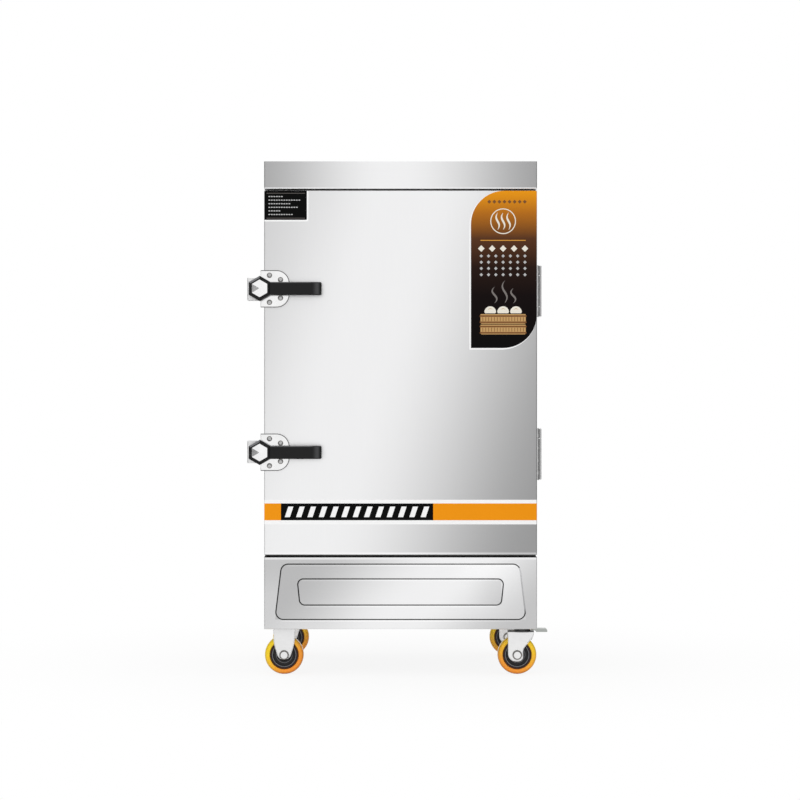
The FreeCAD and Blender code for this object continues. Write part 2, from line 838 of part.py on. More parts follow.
def float_valve():
    """The brass inlet valve in the rear wall: threaded tail, locknut, body and the ears that hold the arm."""
    wall = chamber_rear - chamber_sheet
    body_end = wall - valve_body_length
    outlet = chamber_rear + inlet_length
    centre = point(chamber_x, 0, valve_height)
    body = rod(valve_body_radius, centre + BEHIND * body_end, centre + BEHIND * wall)
    tail = rod(half_inch_thread_radius, centre + BEHIND * wall, centre + BEHIND * outlet)
    nut = prism(hexagon(valve_nut_flats, centre + BEHIND * chamber_rear, BEHIND), BEHIND, valve_nut_height)
    bore = rod(inlet_bore_radius, centre + BEHIND * (wall - valve_body_length / 2),
               centre + BEHIND * (outlet + 1))
    pieces = [tail, nut]
    pivot_y = float_pivot_y()
    for side in (-1, 1):
        inner = chamber_x + side * (float_eye_width / 2 + fit_gap)
        outer = inner + side * float_ear_thickness
        pieces.append(block(min(inner, outer), max(inner, outer), body_end - float_ear_length, body_end,
                            valve_height - float_ear_height / 2, valve_height + float_ear_height / 2))
    reach = float_eye_width / 2 + fit_gap + float_ear_thickness
    pieces.append(rod(float_pivot_radius, point(chamber_x - reach, pivot_y, valve_height),
                      point(chamber_x + reach, pivot_y, valve_height)))
    return body.fuse(pieces).cut(bore).removeSplitter()


def float_pivot_y():
    return chamber_rear - chamber_sheet - valve_body_length - float_pivot_gap


def float_arm():
    """The float on its rod, with the eye that turns on the valve's pin."""
    pivot = point(chamber_x, float_pivot_y(), valve_height)
    ball_centre = pivot + point(0, -float_arm_length, -float_drop)
    half = RIGHT * (float_eye_width / 2)
    eye = rod(float_eye_radius, pivot - half, pivot + half)
    arm = rod(float_arm_radius, pivot, ball_centre)
    ball = Part.makeSphere(float_radius, ball_centre)
    hole = rod(float_pivot_radius + pin_clearance, pivot - half, pivot + half)
    return eye.fuse([arm, ball]).cut(hole).removeSplitter()


def balance_pipe():
    """The pipe that keeps the chamber and the tank at one level, with a nut against each wall."""
    near = point(pipe_x, tank_back + tank_sheet, pipe_height())
    far = point(pipe_x, chamber_front, pipe_height())
    nuts = [
        prism(hexagon(pipe_nut_flats, near, BEHIND), BEHIND, pipe_nut),
        prism(hexagon(pipe_nut_flats, far - BEHIND * pipe_nut, BEHIND), BEHIND, pipe_nut),
    ]
    return rod(pipe_radius, near, far).fuse(nuts).cut(rod(pipe_bore, near, far)).removeSplitter()


# Rear fittings

def drain_valve_body():
    """The drain pipe from the tank floor to a ball valve behind the back panel."""
    top = point(drain_x, drain_y, tank_floor - tank_sheet)
    bend_top = point(drain_x, drain_y, drain_height + drain_bend)
    lean = drain_bend * (1 - math.sqrt(0.5))
    bend_middle = point(drain_x, drain_y + lean, drain_height + lean)
    bend_end = point(drain_x, drain_y + drain_bend, drain_height)
    panel = point(drain_x, back, drain_height)
    path = Part.Wire([
        Part.LineSegment(top, bend_top).toShape(),
        Part.Arc(bend_top, bend_middle, bend_end).toShape(),
        Part.LineSegment(bend_end, panel).toShape(),
    ])
    pipe = path.makePipeShell([Part.Wire([Part.makeCircle(drain_pipe_radius, top, UP)])], True, False)
    collar = prism(hexagon(drain_collar_flats, panel, BEHIND), BEHIND, drain_collar)
    barrel_start = panel + BEHIND * drain_collar
    barrel_end = barrel_start + BEHIND * drain_barrel
    outlet_end = barrel_end + BEHIND * drain_outlet
    barrel = rod(drain_barrel_radius, barrel_start, barrel_end)
    outlet = rod(half_inch_thread_radius, barrel_end, outlet_end)
    stem_foot = point(drain_x, drain_stem_y(), drain_height)
    stem = rod(drain_stem_radius, stem_foot, stem_foot + UP * (drain_barrel_radius + drain_stem_rise))
    bore = rod(drain_bore_radius, outlet_end - BEHIND * drain_outlet_bore_depth, outlet_end + BEHIND)
    return pipe.fuse([collar, barrel, outlet, stem]).cut(bore).removeSplitter()


def drain_stem_y():
    return back + drain_collar + drain_barrel / 2


def drain_valve_lever():
    """A cranked flat lever on the valve stem, across the pipe when the drain is shut."""
    y = drain_stem_y()
    foot = drain_height + drain_barrel_radius + fit_gap
    half = drain_lever_width / 2
    corners = [
        point(drain_x + half, y - half, foot), point(drain_x - 2 * half, y - half, foot),
        point(drain_x - 2 * half - drain_lever_step, y - half, foot + drain_lever_step),
        point(drain_x - drain_lever_length, y - half, foot + drain_lever_step),
    ]
    strip = bent_sheet(corners, bend_radius, -drain_lever_sheet, BEHIND, drain_lever_width)
    return strip.cut(rod(drain_stem_radius + pin_clearance, point(drain_x, y, foot - drain_lever_sheet),
                         point(drain_x, y, foot + drain_lever_step)))


def steam_vent():
    """The steam outlet: a tube through the back wall, bent upward, with a flange on the panel."""
    start = point(0, cavity_back, vent_height)
    bend_start = point(0, back + vent_run, vent_height)
    lean = vent_bend * math.sqrt(0.5)
    bend_middle = point(0, back + vent_run + lean, vent_height + vent_bend - lean)
    bend_end = point(0, back + vent_run + vent_bend, vent_height + vent_bend)
    end = bend_end + UP * vent_rise
    path = Part.Wire([
        Part.LineSegment(start, bend_start).toShape(),
        Part.Arc(bend_start, bend_middle, bend_end).toShape(),
        Part.LineSegment(bend_end, end).toShape(),
    ])
    outside = path.makePipeShell([Part.Wire([Part.makeCircle(vent_radius, start, BEHIND)])], True, False)
    bore = Part.makeCircle(vent_radius - vent_wall, start, BEHIND)
    inside = path.makePipeShell([Part.Wire([bore])], True, False)
    panel = point(0, back, vent_height)
    flange = rod(vent_flange_radius, panel, panel + BEHIND * vent_flange)
    return outside.fuse(flange).cut(inside).removeSplitter()


def louver(x, z):
    """One pressed louver: the hood and the wedge of air under it."""
    surface = back + service_sheet
    hood = Part.makePolygon([
        point(x, surface, z + louver_height), point(x, surface + louver_proud, z),
        point(x, surface, z), point(x, surface, z + louver_height),
    ])
    left = x + service_sheet
    ceiling = z + louver_height - 2 * service_sheet
    mouth = surface + louver_proud - service_sheet
    room = Part.makePolygon([
        point(left, back - 1, ceiling), point(left, surface, ceiling), point(left, mouth, z),
        point(left, mouth, z - 1), point(left, surface, z - 1), point(left, surface, z),
        point(left, back - 1, z), point(left, back - 1, ceiling),
    ])
    return prism(hood, RIGHT, louver_length), prism(room, RIGHT, louver_length - 2 * service_sheet)


def rear_service_cover():
    """The louvered cover over the heater terminals."""
    plate = block(service_left, service_right, back, back + service_sheet, service_bottom, service_top)
    middle_x = (service_left + service_right) / 2
    middle_z = (service_bottom + service_top) / 2
    hoods = []
    rooms = []
    for column in range(louver_columns):
        for row in range(louver_rows):
            x = middle_x + (column - (louver_columns - 1) / 2) * louver_pitch_x - louver_length / 2
            z = middle_z + (row - (louver_rows - 1) / 2) * louver_pitch_z - louver_height / 2
            hood, air = louver(x, z)
            hoods.append(hood)
            rooms.append(air)
    return plate.fuse(hoods).cut(rooms).removeSplitter()


def cable_gland():
    """An empty cable gland: hexagon and clamping nut outside, locknut inside."""
    centre = point(gland_x, 0, gland_height)
    hexagon_end = back + gland_hex_height
    nut_end = hexagon_end + gland_nut_height
    inside_end = back_inside - gland_locknut_height
    body = prism(hexagon(gland_hex_flats, centre + BEHIND * back, BEHIND), BEHIND, gland_hex_height)
    dome_start = nut_end - gland_dome_height
    dome = Part.makeCone(gland_nut_radius, gland_bore_radius + gland_lip, gland_dome_height,
                         centre + BEHIND * dome_start, BEHIND)
    nut = rod(gland_nut_radius, centre + BEHIND * hexagon_end, centre + BEHIND * dome_start)
    thread = rod(gland_thread_radius, centre + BEHIND * inside_end, centre + BEHIND * back)
    locknut = prism(hexagon(gland_hex_flats, centre + BEHIND * inside_end, BEHIND), BEHIND,
                    gland_locknut_height)
    bore = rod(gland_bore_radius, centre + BEHIND * (inside_end - 1), centre + BEHIND * (nut_end + 1))
    return body.fuse([dome, nut, thread, locknut]).cut(bore).removeSplitter()


# Door

def door_outer_skin():
    return front_pan(door_bottom, door_top, door_back - door_inner_sheet)


def plug_outline(y, inset):
    return front_outline(plug_half - inset, plug_bottom + inset, plug_top - inset, y, liner_corner - inset)


def door_inner_skin():
    """The back of the door, with a raised panel that enters the opening."""
    seat = door_back - door_inner_sheet
    plate = block(-half_width, half_width, seat, door_back, door_bottom, door_top)
    panel = prism(plug_outline(seat, 0), BEHIND, plug_face - seat)
    hollow = prism(plug_outline(seat, door_inner_sheet), BEHIND, plug_face - seat - door_inner_sheet)
    return plate.fuse(panel).cut(hollow).removeSplitter()


def door_insulation():
    seat = door_back - door_inner_sheet
    slab = block(-inner_half_width, inner_half_width, front + outer_sheet, seat,
                 door_bottom + outer_sheet, door_top - outer_sheet)
    front_edges = edges_where(slab, lambda b: b.YMax < front + 2 * outer_sheet)
    slab = slab.makeFillet(bend_radius - outer_sheet, front_edges)
    panel = prism(plug_outline(seat, door_inner_sheet), BEHIND, plug_face - seat - door_inner_sheet)
    return slab.fuse(panel).removeSplitter()


def gasket_ring(near, far, y, depth):
    """A frame-shaped strip whose inner and outer edges lie the given distances outside the opening."""
    outer = prism(front_outline(opening_half + far, opening_bottom - far, opening_top + far, y,
                                liner_corner + far), BEHIND, depth)
    inner = prism(front_outline(opening_half + near, opening_bottom - near, opening_top + near, y,
                                liner_corner + near), BEHIND, depth)
    return outer.cut(inner)


def door_gasket():
    """The silicone seal: a flat foot on the door and a narrower bulb towards the frame."""
    foot = gasket_ring(gasket_inset, gasket_inset + gasket_width, door_back, gasket_base)
    shoulder = (gasket_width - gasket_bulb) / 2
    bulb = gasket_ring(gasket_inset + shoulder, gasket_inset + gasket_width - shoulder,
                       door_back + gasket_base, seal_gap - gasket_base - fit_gap)
    return foot.fuse(bulb).removeSplitter()


# Hinges

def hinge_levels(hinge):
    """Heights of the barrel's ends and of the door's knuckle, with the seams between the knuckles."""
    low = hinge["height"] - hinge_length / 2
    high = hinge["height"] + hinge_length / 2
    washer_seam = washer_thickness + 2 * fit_gap
    bottom_seam = washer_seam if hinge["washers"] == 2 else fit_gap
    door_low = low + hinge["bottom_knuckle"] + bottom_seam
    door_high = high - hinge["top_knuckle"] - washer_seam
    return low, high, door_low, door_high


def knuckle(z0, z1):
    return rod(hinge_barrel_radius, point(hinge_x, hinge_y, z0), point(hinge_x, hinge_y, z1))


def pin_hole(hinge):
    low, high, _, _ = hinge_levels(hinge)
    return rod(hinge_pin_radius + pin_clearance, point(hinge_x, hinge_y, low - 1),
               point(hinge_x, hinge_y, high + 1))


def cabinet_leaf(hinge):
    """The leaf on the side panel, with the two end knuckles."""
    low, high, _, _ = hinge_levels(hinge)
    near = hinge_y + hinge_barrel_radius + knuckle_notch
    plate = block(half_width, half_width + leaf_sheet, near, hinge_y + leaf_width, low, high)
    pieces = []
    for z0, z1 in ((low, low + hinge["bottom_knuckle"]), (high - hinge["top_knuckle"], high)):
        pieces.append(knuckle(z0, z1))
        pieces.append(block(half_width, half_width + leaf_sheet, hinge_y + hinge_setback, near, z0, z1))
        pieces.append(block(half_width + leaf_sheet / 2, half_width + leaf_sheet, hinge_y,
                            hinge_y + hinge_setback, z0, z1))
    return plate.fuse(pieces).cut(pin_hole(hinge)).removeSplitter()


def door_leaf(hinge):
    """The leaf on the edge of the door, with the middle knuckle."""
    low, high, door_low, door_high = hinge_levels(hinge)
    near = hinge_y - hinge_barrel_radius - knuckle_notch
    plate = block(half_width, half_width + leaf_sheet, hinge_y - leaf_width, near, low, high)
    arm = block(half_width, half_width + leaf_sheet, near, hinge_y - hinge_setback, door_low, door_high)
    curl = block(half_width + leaf_sheet / 2, half_width + leaf_sheet, hinge_y - hinge_setback, hinge_y,
                 door_low, door_high)
    return plate.fuse([arm, curl, knuckle(door_low, door_high)]).cut(pin_hole(hinge)).removeSplitter()


def hinge_pin(hinge):
    """The pin with a head at each end, and the washers in the seams."""
    low, high, door_low, door_high = hinge_levels(hinge)
    pin = rod(hinge_pin_radius, point(hinge_x, hinge_y, low), point(hinge_x, hinge_y, high))
    heads = [
        Part.makeCone(pin_head_radius, hinge_pin_radius, pin_head_height, point(hinge_x, hinge_y, high), UP),
        Part.makeCone(hinge_pin_radius, pin_head_radius, pin_head_height,
                      point(hinge_x, hinge_y, low - pin_head_height), UP),
    ]
    pieces = [pin.fuse(heads).removeSplitter()]
    seats = [door_high + fit_gap]
    if hinge["washers"] == 2:
        seats.append(door_low - fit_gap - washer_thickness)
    for z in seats:
        pieces.append(tube(hinge_barrel_radius, hinge_pin_radius + pin_clearance,
                           point(hinge_x, hinge_y, z), point(hinge_x, hinge_y, z + washer_thickness)))
    return pieces


# Latches

def latch_keeper(height):
    """A bracket on the side panel: out from the side, forward, then back over the tongue's path."""
    wall_outer = latch_x - tongue_reach - keeper_side_room - keeper_sheet
    foot = -half_width - keeper_sheet
    web_rear = frame_front + keeper_behind_frame + keeper_sheet
    lip_front = tongue_front - keeper_lip_gap - keeper_sheet
    bottom = height - keeper_height / 2
    corners = [
        point(foot, web_rear - keeper_sheet + keeper_foot, bottom), point(foot, web_rear, bottom),
        point(wall_outer, web_rear, bottom), point(wall_outer, lip_front, bottom),
        point(wall_outer + keeper_lip, lip_front, bottom),
    ]
    outer_bend = keeper_bend + keeper_sheet
    return bent_sheet(corners, [0, keeper_bend, outer_bend, outer_bend, 0], -keeper_sheet, UP, keeper_height)


def latch_plate(height):
    """The cast D-shaped plate on the door front, with the boss and sleeve that carry the shaft."""
    left = -half_width - latch_plate_overhang
    right = left + latch_plate_overhang + latch_plate_reach
    low = height - latch_plate_height / 2
    high = height + latch_plate_height / 2
    corners = [
        point(left, front, low), point(right, front, low),
        point(right, front, high), point(left, front, high),
    ]
    outline = rounded_path(corners, [0, latch_plate_corner, latch_plate_corner, 0])
    plate = prism(outline, AHEAD, latch_plate_thickness)
    face = front - latch_plate_thickness
    plate = plate.makeChamfer(latch_plate_chamfer, edges_where(plate, lambda b: b.YMax < face + 1e-6))
    centre = point(latch_x, 0, height)
    boss = rod(latch_boss_radius, centre + BEHIND * boss_face, centre + BEHIND * front)
    sleeve = rod(latch_sleeve_radius, centre + BEHIND * front, centre + BEHIND * sleeve_end)
    hole = rod(shaft_radius + shaft_clearance, centre + BEHIND * (boss_face - 1),
               centre + BEHIND * (sleeve_end + 1))
    return plate.fuse([boss, sleeve]).cut(hole).removeSplitter()


def on_lever_front(edge, top, bend):
    """Whether the edge runs along the lever's front surface, which drops towards the door past the bend."""
    middle = edge.CenterOfMass
    surface = top + max(0, middle.x - bend) * lever_tip_drop / lever_tip_run
    return edge.BoundBox.ZLength < 1e-6 and middle.y < surface + lever_thickness / 3


def handle_lever(height):
    """The moulded handle: a bevelled hexagonal hub and a flat lever that bends to the door at its tip."""
    centre = point(latch_x, 0, height)
    hub = prism(hexagon(hub_flats, centre + BEHIND * hub_face, BEHIND, POINT_UP), BEHIND, hub_height)
    hub = hub.makeChamfer(hub_bevel, edges_where(hub, lambda b: b.YMax < hub_face + 1e-6))
    top = hub_face + cap_rim
    under = top + lever_thickness
    tip = latch_x + lever_length
    bend = tip - lever_tip_run
    low = height - lever_width / 2
    side = [
        point(latch_x, top, low), point(bend, top, low), point(tip, top + lever_tip_drop, low),
        point(tip - cap_rim, under + lever_tip_drop, low), point(bend - cap_rim, under, low),
        point(latch_x + hub_flats / 2 + lever_thickness, under, low),
        point(latch_x + hub_flats / 3, hub_back, low), point(latch_x, hub_back, low),
    ]
    radii = [0, lever_width, 0, lever_edge_radius, lever_width, lever_root_radius, 0, 0]
    lever = prism(rounded_path(side, radii), UP, lever_width)
    front_edges = [edge for edge in lever.Edges if on_lever_front(edge, top, bend)]
    lever = lever.makeChamfer(lever_chamfer, front_edges)
    outline = [
        point(latch_x, hub_face - 1, low), point(tip, hub_face - 1, low),
        point(tip, hub_face - 1, low + lever_width), point(latch_x, hub_face - 1, low + lever_width),
    ]
    envelope = prism(rounded_path(outline, [0, lever_corner, lever_corner, 0]), BEHIND, 2 * hub_height)
    lever = lever.common(envelope)
    seat = prism(hexagon(cap_flats, centre + BEHIND * hub_face, BEHIND, POINT_UP), BEHIND, cap_seat)
    socket = rod(shaft_radius, centre + BEHIND * (hub_face + cap_seat + cap_rim),
                 centre + BEHIND * (hub_back + 1))
    return hub.fuse(lever).cut([seat, socket]).removeSplitter()


def handle_cap(height):
    """The faceted cap: a hexagonal pyramid let into the hub."""
    centre = point(latch_x, 0, height)
    seat = centre + BEHIND * (hub_face + cap_seat)
    shoulder = seat - BEHIND * cap_rim
    body = prism(hexagon(cap_flats, seat, AHEAD, POINT_UP), AHEAD, cap_rim)
    peak = seat - BEHIND * cap_height
    roof = frustum(hexagon(cap_flats, shoulder, AHEAD, POINT_UP),
                   hexagon(cap_peak_flats, peak, AHEAD, POINT_UP))
    return body.fuse(roof).removeSplitter()


def latch_shaft(height):
    """The shaft from the hub through the sleeve, with the tongue that hooks behind the keeper."""
    centre = point(latch_x, 0, height)
    shaft = rod(shaft_radius, centre + BEHIND * (hub_face + cap_seat + cap_rim),
                centre + BEHIND * tongue_rear)
    half = tongue_width / 2
    outline = [
        centre + point(-half, tongue_front, half), centre + point(-half, tongue_front, -tongue_reach),
        centre + point(half, tongue_front, -tongue_reach), centre + point(half, tongue_front, half),
    ]
    rounded = rounded_path(outline, [tongue_corner, half / 2, half / 2, tongue_corner])
    tongue = prism(rounded, BEHIND, tongue_thickness)
    return shaft.fuse(tongue).removeSplitter()


# Casters

def fork_leg(outline, wheel_centre_y, side):
    """One leg of a fork, cut from sheet, outside the wheel."""
    start = wheel_centre_y + (fork_inside if side > 0 else -fork_outside)
    wire = rounded_path([point(x, start, z) for x, z, _ in outline], [radius for _, _, radius in outline])
    return prism(wire, BEHIND, fork_sheet)


def caster_axle(x, y):
    """The axle bolt with a domed nut at each end."""
    near = y - fork_outside
    far = y + fork_outside
    shaft = rod(axle_radius, point(x, near, wheel_radius), point(x, far, wheel_radius))
    pieces = []
    for seat, direction in ((near, AHEAD), (far, BEHIND)):
        wide = axle_nut_height - axle_nut_bevel
        foot = point(x, seat, wheel_radius)
        pieces.append(rod(axle_nut_radius, foot, foot + direction * wide))
        pieces.append(Part.makeCone(axle_nut_radius, axle_nut_radius - axle_nut_bevel, axle_nut_bevel,
                                    foot + direction * wide, direction))
    return shaft.fuse(pieces).removeSplitter()


def rigid_fork(y):
    """A fixed caster's fork: a plate under the chassis with two legs folded down from it."""
    x = -rigid_caster_x
    seat = chassis_underside - fork_sheet
    plate = prism(plan_outline(x - rigid_plate_x / 2, x + rigid_plate_x / 2, y - rigid_plate_y / 2,
                               y + rigid_plate_y / 2, seat, plate_corner), UP, fork_sheet)
    top = rigid_leg_top / 2
    waist = rigid_leg_waist / 2
    foot = rigid_leg_foot / 2
    tip = wheel_radius - rigid_leg_tip
    outline = [
        (x - top, seat, 0), (x - waist, rigid_leg_waist_height, rigid_leg_waist_radius),
        (x - foot, tip, rigid_leg_tip_radius), (x + foot, tip, rigid_leg_tip_radius),
        (x + waist, rigid_leg_waist_height, rigid_leg_waist_radius), (x + top, seat, 0),
    ]
    legs = [fork_leg(outline, y, side) for side in (-1, 1)]
    hole = rod(axle_radius, point(x, y - 2 * wheel_width, wheel_radius),
               point(x, y + 2 * wheel_width, wheel_radius))
    return [plate.fuse(legs).cut(hole).removeSplitter(), caster_axle(x, y)]


def swivel_plate(y):
    """A swivel caster's top plate with the bearing cup that holds the kingpin."""
    x = swivel_caster_x
    seat = chassis_underside - fork_sheet
    plate = prism(plan_outline(x - swivel_plate_x / 2, x + swivel_plate_x / 2, y - swivel_plate_y / 2,
                               y + swivel_plate_y / 2, seat, plate_corner), UP, fork_sheet)
    cup_bottom = crown_top + race_height + fit_gap
    centre = point(x, y, 0)
    rim = Part.makeCone(cup_radius - cup_bevel, cup_radius, cup_bevel, centre + UP * cup_bottom, UP)
    cup = rod(cup_radius, centre + UP * (cup_bottom + cup_bevel), centre + UP * seat)
    hole = rod(kingpin_radius + axle_clearance, centre + UP * (cup_bottom - 1),
               centre + UP * (crown_top + race_height + kingpin_height + kingpin_end_room / 2))
    return plate.fuse([cup, rim]).cut(hole).removeSplitter()


def swivel_fork(y, brake):
    """A swivel caster's fork: crown, race and kingpin above, legs that trail the wheel behind the pin."""
    x = swivel_axle_x
    crown_bottom = crown_top - fork_sheet
    left = x - swivel_leg_left
    right = x + swivel_leg_right_top
    centre = point(swivel_caster_x, y, 0)
    crown = block(left, right, y - fork_outside, y + fork_outside, crown_bottom, crown_top)
    disc = rod(crown_radius, centre + UP * crown_bottom, centre + UP * crown_top)
    race = rod(race_radius, centre + UP * crown_top, centre + UP * (crown_top + race_height))
    kingpin = rod(kingpin_radius, centre + UP * crown_top,
                  centre + UP * (crown_top + race_height + kingpin_height))
    neck = x + swivel_leg_right_axle
    tip = wheel_radius - swivel_leg_tip
    shoulder = crown_bottom - swivel_leg_shoulder
    outline = [
        (left, crown_bottom, 0), (left, tip, swivel_leg_front_radius), (neck, tip, swivel_leg_rear_radius),
        (neck, wheel_radius + swivel_leg_right_axle, swivel_leg_waist_radius),
        (right, shoulder, swivel_leg_shoulder_radius), (right, crown_bottom, 0),
    ]
    legs = [fork_leg(outline, y, side) for side in (-1, 1)]
    hole = rod(axle_radius, point(x, y - 2 * wheel_width, wheel_radius),
               point(x, y + 2 * wheel_width, wheel_radius))
    fork = crown.fuse([disc, race, kingpin] + legs).cut(hole).removeSplitter()
    if brake:
        pivot = point(x + brake_pivot_x, y, brake_pivot_height)
        across = BEHIND * fork_outside
        notch = block(pivot.x - brake_eye_radius - brake_eye_room, right + crown_radius,
                      y - fork_inside, y + fork_inside, crown_bottom - fork_sheet, crown_top)
        fork = fork.cut(notch).fuse(rod(brake_rod_radius, pivot - across, pivot + across)).removeSplitter()
    return [fork, caster_axle(x, y)]


def brake_pedal():
    """The pedal on the front swivel caster: a bent plate on an eye, with a shoe that faces the tread."""
    half = fork_inside - fit_gap
    near = -caster_y - half
    pivot = point(swivel_axle_x + brake_pivot_x, near, brake_pivot_height)
    tip = swivel_axle_x + brake_pedal_tip
    path = [
        pivot + point(-brake_root_x, 0, brake_root_z),
        point(pivot.x - brake_root_x + brake_pedal_rise, near, brake_pedal_top),
        point(tip, near, brake_pedal_top), point(tip, near, brake_pedal_top - brake_pedal_curl),
    ]
    plate = bent_sheet(path, brake_pedal_sheet, -brake_pedal_sheet, BEHIND, 2 * half)
    skirt_top = brake_pedal_top - brake_pedal_sheet / 2
    skirts = [block(tip - brake_skirt_length, tip - brake_pedal_sheet, y, y + brake_skirt_sheet,
                    brake_pedal_top - brake_pedal_curl, skirt_top)
              for y in (near, near + 2 * half - brake_skirt_sheet)]
    eye = rod(brake_eye_radius, pivot, pivot + BEHIND * 2 * half)
    inward = point(swivel_axle_x, near, wheel_radius) - pivot
    reach = inward.Length - wheel_radius - brake_shoe_gap
    inward = inward.normalize()
    along = point(-inward.z, 0, inward.x) * brake_shoe_length
    heel = pivot + inward * reach
    shoe = Part.makePolygon([pivot, heel, heel + along, pivot + along, pivot])
    hole = rod(brake_rod_radius + axle_clearance, pivot - BEHIND, pivot + BEHIND * (2 * half + 1))
    return eye.fuse([plate, prism(shoe, BEHIND, 2 * half)] + skirts).cut(hole).removeSplitter()


def revolved(profile, x, y):
    """A solid of revolution about a caster's axle: profile points are distance along Y and radius."""
    ring = profile + profile[:1]
    wire = Part.makePolygon([point(x, y + along, wheel_radius + radius) for along, radius in ring])
    return Part.Face(wire).revolve(point(x, y, wheel_radius), BEHIND, 360)


def caster_tread(x, y):
    half = wheel_width / 2
    return revolved([
        (-half, wheel_hub_radius), (-half, wheel_radius - tread_bevel), (-half + tread_bevel, wheel_radius),
        (half - tread_bevel, wheel_radius), (half, wheel_radius - tread_bevel), (half, wheel_hub_radius),
    ], x, y)


def caster_hub(x, y):
    """The wheel centre: a rim under the tread, a thinner web and the bearing boss."""
    half = wheel_width / 2
    web = half - hub_web_recess
    bore = axle_radius + axle_clearance
    return revolved([
        (-half, bore), (-half, hub_boss_radius), (-web, hub_boss_radius + hub_web_recess / 2),
        (-web, hub_web_outer - hub_web_recess / 2), (-half, hub_web_outer), (-half, wheel_hub_radius),
        (half, wheel_hub_radius), (half, hub_web_outer), (web, hub_web_outer - hub_web_recess / 2),
        (web, hub_boss_radius + hub_web_recess / 2), (half, hub_boss_radius), (half, bore),
    ], x, y)


def save(name, shapes):
    if not isinstance(shapes, (list, tuple)):
        shapes = [shapes]
    solids = [solid for shape in shapes for solid in shape.Solids]
    shape = solids[0] if len(solids) == 1 else Part.makeCompound(solids)
    shape.exportStep("parts/" + name + ".step")
    print(name, len(solids), "solid" if len(solids) == 1 else "solids")


def cabinet_parts():
    left_panel = side_panel()
    left_rack = tray_rack()
    return {
        "side_panel_left": left_panel,
        "side_panel_right": mirrored(left_panel),
        "top_cover": top_cover(),
        "back_panel": back_panel(),
        "front_frame": front_frame(),
        "inner_liner": inner_liner(),
        "cabinet_insulation": cabinet_insulation(),
        "base_chassis": base_chassis(),
        "base_front_panel": base_front_panel(),
        "tray_rack_left": left_rack,
        "tray_rack_right": [mirrored(piece) for piece in left_rack],
        "steam_plate": steam_plate(),
        "water_tank": water_tank(),
        "heating_elements": [heating_element(x) for x in element_centres()],
        "float_chamber": float_chamber(),
        "float_valve": float_valve(),
        "float_arm": float_arm(),
        "balance_pipe": balance_pipe(),
        "drain_valve_body": drain_valve_body(),
        "drain_valve_lever": drain_valve_lever(),
        "steam_vent": steam_vent(),
        "rear_service_cover": rear_service_cover(),
        "cable_gland": cable_gland(),
        "latch_keepers": [latch_keeper(height) for height in latch_heights.values()],
        "hinge_leaves_cabinet": [cabinet_leaf(hinge) for hinge in hinges.values()],
        "hinge_pins": [piece for hinge in hinges.values() for piece in hinge_pin(hinge)],
    }


def door_parts():
    parts = {
        "door_outer_skin": door_outer_skin(),
        "door_inner_skin": door_inner_skin(),
        "door_insulation": door_insulation(),
        "door_gasket": door_gasket(),
        "hinge_leaves_door": [door_leaf(hinge) for hinge in hinges.values()],
        "latch_plates": [latch_plate(height) for height in latch_heights.values()],
    }
    for name, height in latch_heights.items():
        parts["handle_lever_" + name] = handle_lever(height)
        parts["handle_cap_" + name] = handle_cap(height)
        parts["latch_shaft_" + name] = latch_shaft(height)
    return parts


def tray_parts():
    return {"tray_%d" % (i + 1): tray(first_rim + i * tray_pitch) for i in range(tray_count)}


def caster_parts():
    parts = {
        "rigid_forks": [piece for y in (-caster_y, caster_y) for piece in rigid_fork(y)],
        "swivel_plates": [swivel_plate(y) for y in (-caster_y, caster_y)],
        "swivel_fork_front": swivel_fork(-caster_y, True),
        "swivel_fork_rear": swivel_fork(caster_y, False),
        "brake_pedal": brake_pedal(),
    }
    places = {
        "left_front": (-rigid_caster_x, -caster_y), "left_rear": (-rigid_caster_x, caster_y),
        "right_front": (swivel_axle_x, -caster_y), "right_rear": (swivel_axle_x, caster_y),
    }
    for name, (x, y) in places.items():
        parts["caster_tread_" + name] = caster_tread(x, y)
        parts["caster_hub_" + name] = caster_hub(x, y)
    return parts


os.makedirs("parts", exist_ok=True)
for family in (cabinet_parts(), door_parts(), tray_parts(), caster_parts()):
    for name, shapes in family.items():
        save(name, shapes)
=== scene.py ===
# %% [markdown]
# A rice steamer cabinet: a stainless box on four casters, with a full-height door, two cam latches,
# eight trays inside and the water fittings behind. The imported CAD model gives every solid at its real
# size, so this script only adds what CAD leaves out: finishes, prints, screws, light and a camera.

# %% Load the fixed frame
import math

